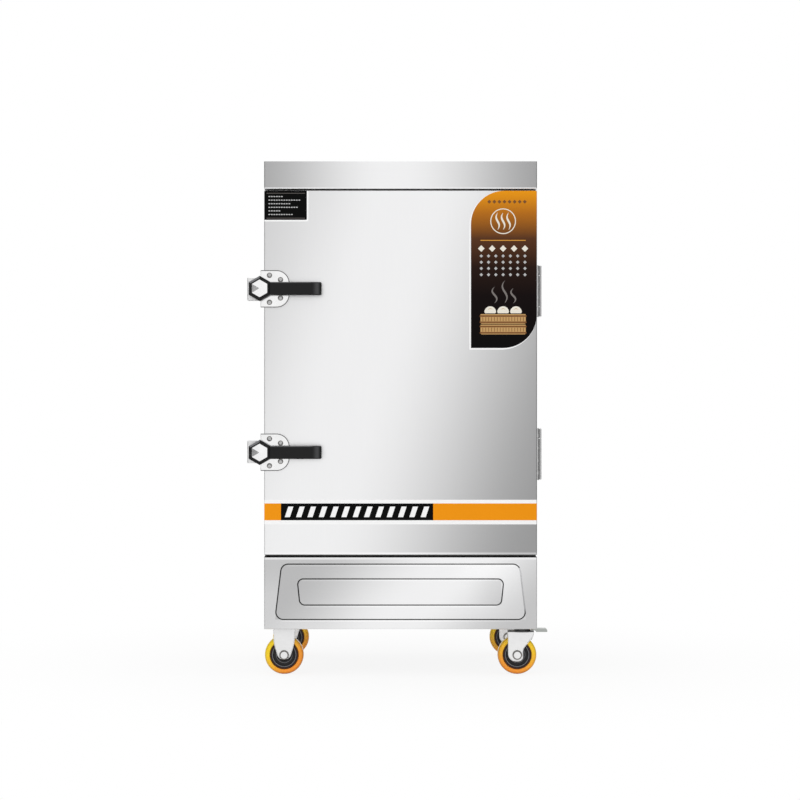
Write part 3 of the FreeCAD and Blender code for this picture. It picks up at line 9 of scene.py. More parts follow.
import bmesh
import bpy
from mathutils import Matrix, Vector


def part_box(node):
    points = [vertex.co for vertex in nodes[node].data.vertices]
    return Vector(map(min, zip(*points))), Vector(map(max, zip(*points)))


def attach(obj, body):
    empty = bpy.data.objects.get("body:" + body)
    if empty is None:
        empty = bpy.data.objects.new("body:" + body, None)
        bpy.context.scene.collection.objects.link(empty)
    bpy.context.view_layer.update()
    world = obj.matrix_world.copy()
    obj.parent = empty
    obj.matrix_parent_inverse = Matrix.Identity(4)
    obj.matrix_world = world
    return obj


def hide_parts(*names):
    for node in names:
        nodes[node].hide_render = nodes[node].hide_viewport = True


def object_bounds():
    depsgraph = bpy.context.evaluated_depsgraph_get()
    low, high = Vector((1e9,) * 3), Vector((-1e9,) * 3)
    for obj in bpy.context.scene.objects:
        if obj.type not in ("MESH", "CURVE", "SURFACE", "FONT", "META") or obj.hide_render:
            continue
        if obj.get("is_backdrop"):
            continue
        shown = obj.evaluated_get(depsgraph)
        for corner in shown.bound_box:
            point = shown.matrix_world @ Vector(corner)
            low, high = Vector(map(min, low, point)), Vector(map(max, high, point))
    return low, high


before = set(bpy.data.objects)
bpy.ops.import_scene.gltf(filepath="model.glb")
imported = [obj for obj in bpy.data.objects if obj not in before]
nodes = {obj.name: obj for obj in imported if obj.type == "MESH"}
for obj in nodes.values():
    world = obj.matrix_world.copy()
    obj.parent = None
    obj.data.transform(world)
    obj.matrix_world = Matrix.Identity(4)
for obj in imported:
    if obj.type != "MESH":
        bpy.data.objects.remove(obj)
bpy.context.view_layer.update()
MM = 0.001

# %% [markdown]
# Materials and Geometry Nodes trees are both graphs, and graphs are tedious to write line by line. So one
# function adds a node to any graph, with its settings and inputs. A small class wraps a number in a
# material's graph and lets plus, minus and times add the Math nodes. A second class holds one finish.

# %% One node in any graph
def add_node(tree, kind, inputs, output=0, **settings):
    """Adds a node. Each input is a plain value or the output of another node."""
    made = tree.nodes.new(kind)
    for key, value in settings.items():
        setattr(made, key, value)
    for key, value in inputs.items():
        value = getattr(value, "socket", value)
        if isinstance(value, bpy.types.NodeSocket):
            tree.links.new(value, made.inputs[key])
        else:
            made.inputs[key].default_value = value
    return made.outputs[output]


class Amount:
    """A number inside a finish."""

    def __init__(self, finish, socket):
        self.finish = finish
        self.socket = socket

    def math(self, operation, *others):
        inputs = dict(enumerate((self,) + others))
        return self.finish.node("Math", inputs, operation=operation)

    def __add__(self, other):
        return self.math("ADD", other)

    def __sub__(self, other):
        return self.math("SUBTRACT", other)

    def __mul__(self, other):
        return self.math("MULTIPLY", other)

    def __rsub__(self, other):
        return self.math("MULTIPLY_ADD", -1.0, other)

    __radd__ = __add__
    __rmul__ = __mul__


# %% One finish and its nodes
class Finish:
    """A material whose shader settings are constant, apart from what feed() links."""

    def __init__(self, name, settings):
        self.material = bpy.data.materials.new(name)
        self.material.use_nodes = True
        self.tree = self.material.node_tree
        self.shader = self.tree.nodes["Principled BSDF"]
        for socket, value in settings.items():
            self.shader.inputs[socket].default_value = value

    def node(self, kind, inputs, output=0, **settings):
        return Amount(self, add_node(self.tree, "ShaderNode" + kind, inputs, output, **settings))

    def place(self):
        return self.node("TexCoord", {}, "Object")

    def axis(self, letter):
        return self.node("SeparateXYZ", {0: self.place()}, letter)

    def facing(self, letter):
        """How far the surface faces along one axis, from -1 to 1."""
        return self.node("SeparateXYZ", {0: self.node("NewGeometry", {}, "Normal")}, letter)

    def noise(self, stretch, detail=2.0):
        """Noise whose cells are 1 / stretch metres long on each axis."""
        spot = self.node("Mapping", {"Vector": self.place(), "Scale": stretch})
        return self.node("TexNoise", {"Vector": spot, "Scale": 1.0, "Detail": detail})

    def between(self, amount, low, high, start=0.0, end=1.0):
        """A smooth step from start to end as the amount goes from low to high."""
        inputs = {"Value": amount, "From Min": low, "From Max": high, "To Min": start, "To Max": end}
        return self.node("MapRange", inputs, interpolation_type="SMOOTHSTEP")

    def below(self, amount, low, high):
        return self.between(amount, low, high, 1.0, 0.0)

    def within(self, amount, rise, fall):
        """1 between a rising and a falling step, and 0 outside them."""
        return self.between(amount, *rise) * self.below(amount, *fall)

    def varied(self, base, *swings):
        """A base value that swings about itself with each noise, by that noise's share."""
        for noise, share in swings:
            base = base + (noise - 0.5) * share
        return base

    def scaled(self, colour, amount):
        return self.node("VectorMath", {0: colour, "Scale": amount}, operation="SCALE")

    def mixed(self, mask, first, second):
        """Colours mixed: the first where the mask is 0, the second where it is 1."""
        return self.node("Mix", {0: mask, 6: first, 7: second}, 2, data_type="RGBA")

    def blend(self, mask, first, second):
        """Numbers mixed in the same way."""
        return self.node("Mix", {0: mask, 2: first, 3: second}, data_type="FLOAT")

    def ramp(self, amount, stops):
        colour = self.node("ValToRGB", {"Fac": amount})
        elements = colour.socket.node.color_ramp.elements
        while len(elements) < len(stops):
            elements.new(1.0)
        for element, (position, stop) in zip(elements, stops):
            element.position = position
            element.color = stop
        return colour

    def feed(self, socket, amount):
        self.tree.links.new(amount.socket, self.shader.inputs[socket])

    def paint(self, colour, shade, painted_light=None):
        """Gives the base colour. The optional function returns a factor from the finish's own coordinates,
        which paints light and shade into the colour.
        """
        if painted_light:
            shade = shade * painted_light(self)
        self.feed("Base Color", self.scaled(colour, shade))

    def bump(self, height, distance):
        self.feed("Normal", self.node("Bump", {"Strength": 1.0, "Distance": distance, "Height": height}))


def grey(level):
    return (level, level, level)


print("finish classes ready")

# %% [markdown]
# The skin is satin stainless steel: brushed in fine parallel lines, very slightly cloudy, with a soft
# sheen and no mirror image. Stretched noise makes the lines, because noise scaled hard on one axis
# turns into streaks. The lines drive roughness and a bump of a few microns, and barely touch the colour.

# %% Satin steel
STEEL = (0.92, 0.92, 0.925)
FINE, LONG = 1400, 9
ALONG_X, ALONG_Y, ALONG_Z = (LONG, FINE, FINE), (FINE, LONG, FINE), (FINE, FINE, LONG)


def satin_steel(name, grain, roughness=0.34, colour=STEEL, painted_light=None):
    """Brushed sheet, with its lines along one axis."""
    finish = Finish(name, {"Metallic": 1.0})
    lines = finish.noise(grain, 3.0)
    clouds = finish.noise((3.1, 2.7, 2.3))
    smears = finish.noise((14, 11, 6), 4.0)
    finish.feed("Roughness", finish.varied(roughness, (lines, 0.12), (clouds, 0.07), (smears, 0.05)))
    finish.paint(colour, finish.varied(1.0, (lines, 0.06), (clouds, 0.04)), painted_light)
    finish.bump(lines, 0.00002)
    return finish.material


print("width of a brushed line:", round(1000 / FINE, 2), "mm")

# %% [markdown]
# Sheet steel in a studio shows slow runs of light and shade, and a hem or a pressed line shows a thin
# line of them. Each function below paints such light and shade into the colour of one sheet, as painted
# sheen, painted shade and painted highlights. Every step in them is a pair of places on the cabinet in
# metres, where the painted light starts to change and where it has changed.

# %% Painted light and shade of the fascia, the door, the walls and the frame
# The painted highlight on a hem: the factor that the sheet's colour takes there.
HEM_HIGHLIGHT = 1.06


def fascia_painted_light(finish):
    """Painted shade darkens the rolled fascia towards both ends, and a painted highlight lies on its lower
    hem.
    """
    x = finish.axis("X")
    sheen = finish.between(x, -0.40, -0.04, 0.45, 1.0) * finish.between(x, 0.0, 0.40, 1.0, 0.40)
    hem = finish.below(finish.axis("Z"), 1.2510, 1.2535)
    return finish.blend(hem, sheen, HEM_HIGHLIGHT)


def door_painted_light(finish):
    """Painted shade: darker to the lower right, a little to the upper left and deep on the downward faces; a
    painted highlight on the lower hem.
    """
    x, z = finish.axis("X"), finish.axis("Z")
    across = x - z * 0.3
    sheen = finish.between(across, -0.30, 0.26, 1.0, 0.37) * finish.between(across, -0.75, -0.40, 0.74, 1.0)
    hem = finish.below(z, 0.3150, 0.3185) * finish.between(x, -0.1, 0.3, 1.0, 0.35)
    painted_underside_shade = finish.between(finish.facing("Z"), -0.98, -0.90, 0.06, 1.0)
    return finish.blend(hem, sheen, HEM_HIGHLIGHT) * painted_underside_shade


def side_painted_shade(finish):
    """Painted shade: the walls and the back are painted darker to the foot, and a little to the front and the
    right.
    """
    fall = finish.axis("Z") + finish.axis("Y") * 0.35 - finish.axis("X") * 0.35
    return finish.between(fall, 0.05, 1.15, 0.52, 1.0)


def frame_painted_shade(finish):
    """Painted shade: the frame is painted dark behind the gap over the door, and darker behind the one under
    it.
    """
    z = finish.axis("Z")
    return finish.between(z, 0.3125, 0.3150, 0.20, 1.0) * finish.between(z, 1.2420, 1.2440, 1.0, 0.40)


# %% Painted light and shade of the base panel
# The pressed lines: the height of each level run and half its length.
LEVEL_RUNS = ((0.287, 0.298), (0.249, 0.260), (0.182, 0.252), (0.145, 0.312))
# Painted shade inside a groove, a painted highlight in its right run, and a painted highlight under each
# level run.
GROOVE_SHADE, GROOVE_HIGHLIGHT, RUN_HIGHLIGHT = 0.80, -0.10, 0.16


def groove_painted_light(finish):
    """Painted shade fills a groove but for its right run, which gets a painted highlight, as does the sheet
    just under a level run.
    """
    x, z = finish.axis("X"), finish.axis("Z")
    reach = x.math("ABSOLUTE")
    right_run = finish.within(z, (0.158, 0.176), (0.2755, 0.2790)) * finish.between(x, 0.280, 0.286)
    sunk = finish.between(finish.axis("Y"), -0.2998, -0.2992)
    sunk = sunk * finish.within(z, (0.135, 0.140), (0.292, 0.297)) * finish.below(reach, 0.334, 0.338)
    painted_light = 1.0 - sunk * finish.blend(right_run, GROOVE_SHADE, GROOVE_HIGHLIGHT)
    for height, half in LEVEL_RUNS:
        under = finish.within(z, (height - 0.0066, height - 0.0040), (height - 0.0030, height - 0.0020))
        painted_light = painted_light + under * finish.between(reach, half - 0.014, half, RUN_HIGHLIGHT, 0.0)
    return painted_light


def pressed_field_painted_light(finish):
    """Inside the outer pressed line the sheet is painted a little darker at the left and paler at the right:
    painted shade and light.
    """
    x, z = finish.axis("X"), finish.axis("Z")
    reach = x.math("ABSOLUTE")
    leaning = reach + z * 0.1275
    outer = finish.below(leaning, 0.3385, 0.3415) * finish.within(z, (0.143, 0.147), (0.285, 0.289))
    inner = finish.within(z, (0.182, 0.186), (0.247, 0.251)) * finish.below(reach, 0.257, 0.261)
    corner = finish.between(x, -0.31, -0.18, 0.14, 0.0) * finish.below(z, 0.19, 0.29)
    left = finish.between(x, -0.30, -0.05, 0.11, 0.0)
    right = finish.between(x, 0.10, 0.28, 0.0, 0.15)
    inner_right = finish.between(x, 0.16, 0.24, 0.0, -0.07)
    return 1.0 + (1.0 - outer) * corner + outer * (finish.blend(inner, right, inner_right) - left)


def base_painted_light(finish):
    """A painted sheen runs aslant, the upper edge gets a painted highlight, and the ledge over it is painted
    in deep shade.
    """
    z = finish.axis("Z")
    across = finish.axis("X") - z + 0.233
    sheen = finish.between(across, -0.28, 0.06, 0.64, 1.0) * finish.between(across, 0.12, 0.40, 1.0, 0.63)
    sheen = sheen * groove_painted_light(finish) * pressed_field_painted_light(finish)
    edge = finish.between(z, 0.2980, 0.2995, 0.0, 0.75)
    painted_ledge_shade = finish.between(z, 0.3036, 0.3044, 1.0, 0.16)
    return finish.blend(edge, sheen, 1.0) * painted_ledge_shade


print("level runs of the pressed lines:", len(LEVEL_RUNS))

# %% The sheets of steel
steel_door = satin_steel("satin_steel_door", ALONG_Z, painted_light=door_painted_light)
steel_fascia = satin_steel("satin_steel_fascia", ALONG_X, painted_light=fascia_painted_light)
steel_base = satin_steel("satin_steel_base", ALONG_X, painted_light=base_painted_light)
steel_sides = satin_steel("satin_steel_sides", ALONG_Z, colour=(0.84, 0.84, 0.845), painted_light=side_painted_shade)
steel_inside = satin_steel("satin_steel_inside", ALONG_Y, 0.30, grey(0.78))
steel_frame = satin_steel("satin_steel_frame", ALONG_Y, 0.30, grey(0.78), frame_painted_shade)
steel_trays = satin_steel("satin_steel_trays", ALONG_X, 0.24, grey(0.80))
steel_rails = satin_steel("satin_steel_rails", ALONG_Y, 0.32, grey(0.76))
print("satin finishes:", len([m for m in bpy.data.materials if m.name.startswith("satin")]))

# %% [markdown]
# Small metal parts differ from the sheet. The latch plates and caps are polished zinc castings under
# chrome, whose surface waves a little. The forks and keepers are pressed steel under bright zinc, with a
# faint spangle. Fittings at the back are brass, and the hinges and pipes are drawn steel.

# %% Plated and solid metals
def cast_metal(name, colour, roughness, waviness, spangle, depth=0.00003, painted_light=None):
    finish = Finish(name, {"Metallic": 1.0})
    waves = finish.noise((60, 60, 60))
    cells = finish.node("TexVoronoi", {"Vector": finish.place(), "Scale": spangle}, "Distance")
    pits = finish.noise((900, 900, 900), 1.0)
    finish.feed("Roughness", finish.varied(roughness, (waves, 0.10)) + cells * 0.06)
    finish.paint(colour, finish.varied(0.96, (waves, 0.10)) + cells * 0.06, painted_light)
    finish.bump(waves * waviness + pits * 0.05, depth)
    return finish.material


def barrel_painted_reflection(finish):
    """Painted reflection: the round hinge barrels are painted with upright bands, light in the middle and
    dark at both edges.
    """
    x = finish.axis("X")
    bands = finish.between(x, 0.3515, 0.3530, 0.9, 1.5)
    for low, high, change in ((0.3556, 0.3568, 0.12), (0.3590, 0.3602, 8.5), (0.3628, 0.3640, 0.8)):
        bands = bands * finish.between(x, low, high, 1.0, change)
    barrel = finish.below((finish.axis("Y") + 0.252).math("ABSOLUTE"), 0.0066, 0.0074)
    return finish.blend(barrel, 1.0, bands)


def crown_painted_shade(finish):
    """Painted shade: the top of the swivel fork under its plate is painted near black, and the leg below it
    stays bright.
    """
    return finish.between(finish.axis("Z"), 0.1085, 0.1095, 1.0, 0.12)


SMOOTH = 0.00001
chrome = cast_metal("chrome_plate", grey(0.90), 0.12, 0.5, 40)
zinc = cast_metal("bright_zinc", grey(0.88), 0.34, 0.3, 70)
swivel_zinc = cast_metal("bright_zinc_with_painted_crown_shade", grey(0.88), 0.36, 0.3, 70, painted_light=crown_painted_shade)
# The brake pedal and the swivel plates get a darker zinc, as painted shade under the cabinet.
pedal_zinc = cast_metal("zinc_painted_in_shade", (0.42, 0.44, 0.42), 0.30, 0.6, 70)
# The latch plates' bead is chrome painted near black: a painted dark reflection along the rolled edge.
painted_reflection_chrome = cast_metal("chrome_bead_painted_dark", grey(0.17), 0.18, 0.5, 40)
screw_steel = cast_metal("screw_steel", grey(0.55), 0.20, 0.4, 200, SMOOTH)
drawn_steel = cast_metal("drawn_steel", grey(0.66), 0.26, 0.4, 30, SMOOTH)
hinge_steel = cast_metal("hinge_steel", grey(0.60), 0.38, 0.3, 30, SMOOTH, barrel_painted_reflection)
bright_washer = cast_metal("washer_steel", grey(0.97), 0.35, 0.2, 30, SMOOTH)
# The heating elements are sheathed steel. The same dark steel makes the painted shadow discs under the latch
# screws and the painted shadow collars round the axle nuts.
dark_steel = cast_metal("sheathed_steel_and_shadow_rings", (0.30, 0.29, 0.28), 0.42, 0.6, 160)
brass = cast_metal("turned_brass", (0.80, 0.58, 0.25), 0.26, 0.5, 150)
print("plated metals ready")

# %% [markdown]
# Plastics and rubbers get their character from two things: a moulded grain that breaks up the gloss, and
# a slight change of colour over the piece. The tyres are cast polyurethane with a soft gloss. Their colour
# is painted light and shade: yellow towards the upper outer side and orange below. The grain is fine noise
# fed to a bump.

# %% Plastics, rubber, foam and paint
def moulded(name, colour, roughness, grain_size, grain_depth, variation=0.12, gloss=0.5, painted_light=None):
    finish = Finish(name, {"Specular IOR Level": gloss})
    grain = finish.noise((1 / grain_size,) * 3)
    marks = finish.noise((25, 25, 25), 3.0)
    finish.feed("Roughness", finish.varied(roughness, (marks, 0.16), (grain, 0.08)))
    finish.paint(colour, finish.varied(1.0, (marks, 2 * variation)), painted_light)
    finish.bump(grain, grain_depth)
    return finish.material


def handle_painted_highlights(finish):
    """Painted highlights: bevels that face up and left are painted paler than black, and so is the front of
    the bend near the lever's tip.
    """
    lit = finish.facing("Z") * 0.8 - finish.facing("X") * 0.5
    bend = finish.within(finish.axis("X"), (-0.226, -0.213), (-0.2115, -0.2055))
    front = finish.below(finish.facing("Y"), -0.97, -0.90)
    bevels = finish.between(lit, 0.30, 0.85, 0.0, 0.22) * (1.0 - front)
    return bevels + front * 0.005 + front * bend * 0.07 + 0.004


black_handle = moulded("black_nylon", (1.0, 1.0, 1.04), 0.30, 1 / 1100, 0.00002, 0.1, 0.16, handle_painted_highlights)
black_gland = moulded("gland_nylon", (0.030, 0.030, 0.032), 0.45, 0.0008, 0.00003)
hub_black = moulded("hub_nylon", (0.014, 0.013, 0.014), 0.36, 0.0010, 0.00003, gloss=0.25)
silicone = moulded("seal_silicone", (0.62, 0.62, 0.60), 0.55, 0.0015, 0.00004)
float_white = moulded("float_polypropylene", (0.82, 0.82, 0.78), 0.42, 0.0012, 0.00003)
foam = moulded("rigid_foam", (0.80, 0.68, 0.42), 0.95, 0.0025, 0.0006, 0.2)
red_sleeve = moulded("red_vinyl_sleeve", (0.55, 0.03, 0.025), 0.35, 0.0012, 0.00003)
print("plastics ready")

# %% Cast tyres
TYRE_SETTINGS = {"Coat Weight": 0.35, "Coat Roughness": 0.15, "Specular IOR Level": 0.3,
                 "Subsurface Weight": 0.08, "Subsurface Scale": 0.004}
YELLOW, ORANGE = (1.0, 0.70, 0.006, 1), (0.98, 0.32, 0.016, 1)


def tyre_finish(name, centre):
    """Painted light and shade: yellow on the lit upper outer side, orange below, a painted highlight at mid
    radius, darker next to the hub and painted shade towards the rim.
    """
    finish = Finish(name, TYRE_SETTINGS)
    x = finish.axis("X") - centre.x
    z = finish.axis("Z") - centre.z
    # The lit yellow side follows the light: left wheels lean one way, right wheels the other. The rear wheels
    # are painted lighter and more yellow, against the shade under the cabinet.
    lean = 1.0 if centre.x < 0 else -0.35
    shift, rim = (0.030, 0.88) if centre.y > 0 else (0.0, 0.66)
    painted_shade_side = finish.between(x * lean - z, shift - 0.065, shift + 0.055)
    scuffs = finish.noise((180, 180, 180), 3.0)
    radius = (x * x + z * z).math("SQRT")
    crown = finish.between(radius, 0.0362, 0.0388, 0.30, 1.0)
    crown = crown * finish.between(radius, 0.0425, 0.0500, 1.05, rim)
    finish.paint(finish.mixed(painted_shade_side, YELLOW, ORANGE), crown * (0.94 + scuffs * 0.12))
    finish.feed("Roughness", finish.varied(0.30, (scuffs, 0.25)))
    finish.bump(scuffs, 0.00003)
    return finish.material


print("tyres run from", YELLOW[:3], "to", ORANGE[:3])

# %% [markdown]
# Each CAD node now gets its finish. One call per finish keeps this readable: it names the nodes by how
# their names start, and a later call overrules an earlier one. The count at the end proves that no node
# is left bare. The roof and the fascia are one sheet, so they share a finish.

# %% Dress every CAD node
def matching(*starts):
    return [name for name in nodes if name.startswith(starts)]


def dress(material, *starts):
    for name in matching(*starts):
        slots = nodes[name].data.materials
        slots.clear()
        slots.append(material)


dress(steel_door, "door_outer_skin")
dress(steel_fascia, "top_cover")
dress(steel_base, "base_front_panel")
dress(steel_sides, "side_panel", "back_panel", "rear_service_cover", "float_chamber", "door_inner_skin")
dress(steel_frame, "front_frame")
dress(steel_inside, "inner_liner", "steam_plate", "water_tank", "base_chassis")
dress(steel_trays, "tray_")
dress(steel_rails, "tray_rack")
dress(chrome, "handle_cap", "latch_plates")
dress(zinc, "rigid_forks", "latch_keepers")
dress(swivel_zinc, "swivel_fork")
dress(pedal_zinc, "brake_pedal", "swivel_plates")
dress(hinge_steel, "hinge_leaves")
dress(bright_washer, "hinge_pins")
dress(drawn_steel, "latch_shaft", "steam_vent", "balance_pipe")
dress(dark_steel, "heating_elements")
dress(brass, "float_valve", "drain_valve_body")
dress(black_handle, "handle_lever")
dress(black_gland, "cable_gland")
dress(hub_black, "caster_hub")
dress(silicone, "door_gasket")
dress(foam, "cabinet_insulation", "door_insulation")
dress(float_white, "float_arm")
dress(red_sleeve, "drain_valve_lever")


def middle(node):
    low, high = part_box(node)
    return (low + high) / 2


for name in matching("caster_tread"):
    dress(tyre_finish("cast_polyurethane" + name[len("caster_tread"):], middle(name)), name)
bare = [name for name in nodes if not nodes[name].data.materials[0].name]
print("dressed:", len(nodes), "bare:", bare)

# %% [markdown]
# Flat prints and plates are thin closed sheets. Each starts as an outline in the plane of the door,
# measured in millimetres from the middle and upwards, and one function turns a list of outlines into one
# mesh with a front, a back and edges. Rounded corners are quarter circles worked out by a formula.

# %% Outlines
door_low, door_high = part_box("door_outer_skin")
DOOR_FACE = door_low.y
DOOR_BEND = 3.2 * MM
LAYER = 0.12 * MM


def arc(centre, radius, start, end, steps=16):
    """Points on a circle, from one angle to another in degrees."""
    angles = [math.radians(start + (end - start) * i / steps) for i in range(steps + 1)]
    return [(centre[0] + radius * math.cos(a), centre[1] + radius * math.sin(a)) for a in angles]


def rounded(corners, radii, steps=16):
    """Straight runs joined by arcs. A radius of 0 leaves a corner sharp."""
    points = []
    for i, (spot, radius) in enumerate(zip(corners, radii)):
        corner = Vector(spot)
        if not radius:
            points.append(tuple(corner))
            continue
        back = (Vector(corners[i - 1]) - corner).normalized()
        ahead = (Vector(corners[(i + 1) % len(corners)]) - corner).normalized()
        half = back.angle(ahead) / 2
        centre = corner + (back + ahead).normalized() * radius / math.sin(half)
        start = corner + back * radius / math.tan(half) - centre
        first = math.degrees(math.atan2(start.y, start.x))
        turn = math.copysign(180 - 2 * math.degrees(half), ahead.x * back.y - ahead.y * back.x)
        points += arc(centre, radius, first, first + turn, steps)
    return points


def rectangle(left, right, bottom, top, radii=(0, 0, 0, 0)):
    """An outline whose corners are rounded from the lower left, anticlockwise."""
    return rounded([(left, bottom), (right, bottom), (right, top), (left, top)], radii)


print("door face at y =", round(DOOR_FACE, 4))


# %% New objects and meshes
def add_object(name, data):
    made = bpy.data.objects.new(name, data)
    bpy.context.scene.collection.objects.link(made)
    return made


def new_piece(name, mesh, material):
    piece = add_object(name, mesh)
    if material:
        mesh.materials.clear()
        mesh.materials.append(material)
    return piece


def as_mesh(form, name):
    """Turns a closed form into a mesh whose faces look outwards."""
    bmesh.ops.recalc_face_normals(form, faces=form.faces)
    mesh = bpy.data.meshes.new(name)
    form.to_mesh(mesh)
    form.free()
    return mesh


# %% Thin sheets from outlines
def sheet_mesh(name, outlines, back, thickness):
    """Closed flat shapes that stand in front of the plane at back."""
    form = bmesh.new()
    for outline in outlines:
        face = form.faces.new([form.verts.new((x * MM, back, z * MM)) for x, z in outline])
        raised = bmesh.ops.extrude_face_region(form, geom=[face])
        moved = [item for item in raised["geom"] if isinstance(item, bmesh.types.BMVert)]
        bmesh.ops.translate(form, vec=(0, -thickness, 0), verts=moved)
    return as_mesh(form, name)


def wrap(mesh):
    """Bends a flat print back over the rounded edge of the door's sheet."""
    flat_x, flat_z = door_high.x - DOOR_BEND, door_high.z - DOOR_BEND
    form = bmesh.new()
    form.from_mesh(mesh)
    for k in range(4):
        step = k * DOOR_BEND * 0.25
        for spot, normal in (((flat_x + step, 0, 0), (1, 0, 0)), ((-flat_x - step, 0, 0), (1, 0, 0)),
                             ((0, 0, flat_z + step), (0, 0, 1))):
            parts = form.verts[:] + form.edges[:] + form.faces[:]
            bmesh.ops.bisect_plane(form, geom=parts, plane_co=spot, plane_no=normal)
    for vertex in form.verts:
        over = math.hypot(max(abs(vertex.co.x) - flat_x, 0), max(vertex.co.z - flat_z, 0))
        over = min(over, 0.9 * DOOR_BEND)
        vertex.co.y += DOOR_BEND - math.sqrt(DOOR_BEND ** 2 - over ** 2)
    form.to_mesh(mesh)
    form.free()


def door_print(name, outlines, level, material):
    """A print on the door, in the given layer above the steel."""
    mesh = sheet_mesh(name, outlines, DOOR_FACE - level * LAYER, LAYER)
    if max(abs(v.co.x) for v in mesh.vertices) > door_high.x - DOOR_BEND:
        wrap(mesh)
    piece = new_piece(name, mesh, material)
    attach(piece, "door")


print("a layer of film is", round(LAYER / MM, 2), "mm thick")

# %% [markdown]
# The prints are self-adhesive vinyl: a flat colour under a thin clear gloss, with a slight orange-peel
# wave. A print that fades from one colour to another takes its colour from the height on the door
# through a ramp, so the fade is part of the finish and needs no picture.

# %% Vinyl finishes
def vinyl(name, colour):
    finish = Finish(name, {"Specular IOR Level": 0.05})
    peel = finish.noise((260, 260, 260))
    fade = finish.noise((9, 9, 9))
    finish.paint(colour, finish.varied(0.985, (fade, 0.05)))
    finish.feed("Roughness", finish.varied(0.38, (peel, 0.12)))
    finish.bump(peel, 0.00002)
    return finish


def faded_vinyl(name, low, high, stops):
    """Vinyl whose colour runs through the stops from the low to the high level."""
    finish = vinyl(name, grey(1))
    level = finish.node("MapRange", {"Value": finish.axis("Z"), "From Min": low, "From Max": high})
    grain = finish.noise((1200, 1200, 1200), 1.0)
    finish.paint(finish.ramp(level, stops), 0.97 + grain * 0.06)
    return finish.material


white_vinyl = vinyl("white_vinyl", grey(0.97)).material
orange_vinyl = vinyl("orange_vinyl", (0.90, 0.31, 0.007)).material
black_vinyl = vinyl("black_vinyl", grey(0.002)).material
cream_ink = vinyl("cream_ink", (0.84, 0.80, 0.70)).material
grey_ink = vinyl("grey_ink", (0.20, 0.18, 0.17)).material
pale_ink = vinyl("pale_ink", grey(0.50)).material
tan_ink = vinyl("tan_ink", (0.55, 0.33, 0.13)).material
brown_ink = vinyl("brown_ink", (0.20, 0.085, 0.03)).material
amber_ink = vinyl("amber_ink", (0.78, 0.36, 0.05)).material
print("vinyl colours ready")

# %% [markdown]
# A band runs across the foot of the door: white, with an orange stripe and a black block. On a real
# cabinet the block holds lettering. Here it holds a plain row of slanted bars. Bars repeat at an even
# pitch, so a Geometry Nodes tree makes them: a line of points, one bar on each, with named sizes.

# %% Build Geometry Nodes trees in steps
class Recipe:
    """A Geometry Nodes tree with named inputs."""

    def __init__(self, name):
        self.tree = bpy.data.node_groups.new(name, "GeometryNodeTree")
        for side in ("INPUT", "OUTPUT"):
            self.tree.interface.new_socket(name="Geometry", in_out=side, socket_type="NodeSocketGeometry")
        self.start = self.tree.nodes.new("NodeGroupInput")
        self.end = self.tree.nodes.new("NodeGroupOutput")

    def size(self, name, kind, value=None):
        socket = self.tree.interface.new_socket(name=name, in_out="INPUT", socket_type="NodeSocket" + kind)
        if value is not None:
            socket.default_value = value
        return self.start.outputs[name]

    def node(self, kind, inputs, output=0, **settings):
        return add_node(self.tree, kind, inputs, output, **settings)

    def close(self, geometry):
        """Every tree ends in real geometry with a material of its own."""
        real = self.node("GeometryNodeRealizeInstances", {"Geometry": geometry})
        material = self.size("Material", "Material")
        done = self.node("GeometryNodeSetMaterial", {"Geometry": real, "Material": material})
        self.tree.links.new(done, self.end.inputs[0])
        print(self.tree.name, "has", len(self.tree.nodes), "nodes")


def grow(name, recipe, seed_mesh, values, body):
    """Runs a tree on a seed mesh, keeps the result as a plain mesh and lets it ride on a body."""
    seed = new_piece(name + "_seed", seed_mesh, None)
    modifier = seed.modifiers.new("recipe", "NODES")
    modifier.node_group = recipe.tree
    for item in recipe.tree.interface.items_tree:
        if item.in_out == "INPUT" and item.name in values:
            modifier[item.identifier] = values[item.name]
    bpy.context.view_layer.update()
    graph = bpy.context.evaluated_depsgraph_get()
    mesh = bpy.data.meshes.new_from_object(seed.evaluated_get(graph), depsgraph=graph)
    mesh.name = name
    bpy.data.objects.remove(seed)
    piece = new_piece(name, mesh, None)
    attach(piece, body)
    print(name, "has", len(mesh.polygons), "faces")
    return piece


# %% A row of equal shapes
def row_recipe():
    """Copies of one shape on a grid of points, counted and spaced by named inputs."""
    recipe = Recipe("row_of_shapes")
    shape = recipe.size("Shape", "Object")
    columns = recipe.size("Columns", "Int", 1)
    rows = recipe.size("Rows", "Int", 1)
    width = recipe.size("Width", "Float", 0.1)
    height = recipe.size("Height", "Float", 0.0)
    centre = recipe.size("Centre", "Vector")
    grid = recipe.node("GeometryNodeMeshGrid", {
        "Size X": width, "Size Y": height, "Vertices X": columns, "Vertices Y": rows})
    upright = recipe.node("GeometryNodeTransform", {
        "Geometry": grid, "Translation": centre, "Rotation": (math.pi / 2, 0, 0)})
    info = recipe.node("GeometryNodeObjectInfo", {"Object": shape}, "Geometry")
    recipe.close(recipe.node("GeometryNodeInstanceOnPoints", {"Points": upright, "Instance": info}))
    return recipe


rows_of_shapes = row_recipe()


def door_row(name, outline, level, material, counts, spans, centre):
    """Repeats a small print on the door. Counts and spans are across and upwards."""
    seed = bpy.data.meshes.new(name + "_seed")
    shape = new_piece(name + "_shape", sheet_mesh(name + "_shape", [outline], 0, LAYER), material)
    values = {"Shape": shape, "Columns": counts[0], "Rows": counts[1], "Material": material,
              "Width": spans[0] * MM, "Height": spans[1] * MM,
              "Centre": (centre[0] * MM, DOOR_FACE - level * LAYER, centre[1] * MM)}
    grow(name, rows_of_shapes, seed, values, "door")
    bpy.data.objects.remove(shape)


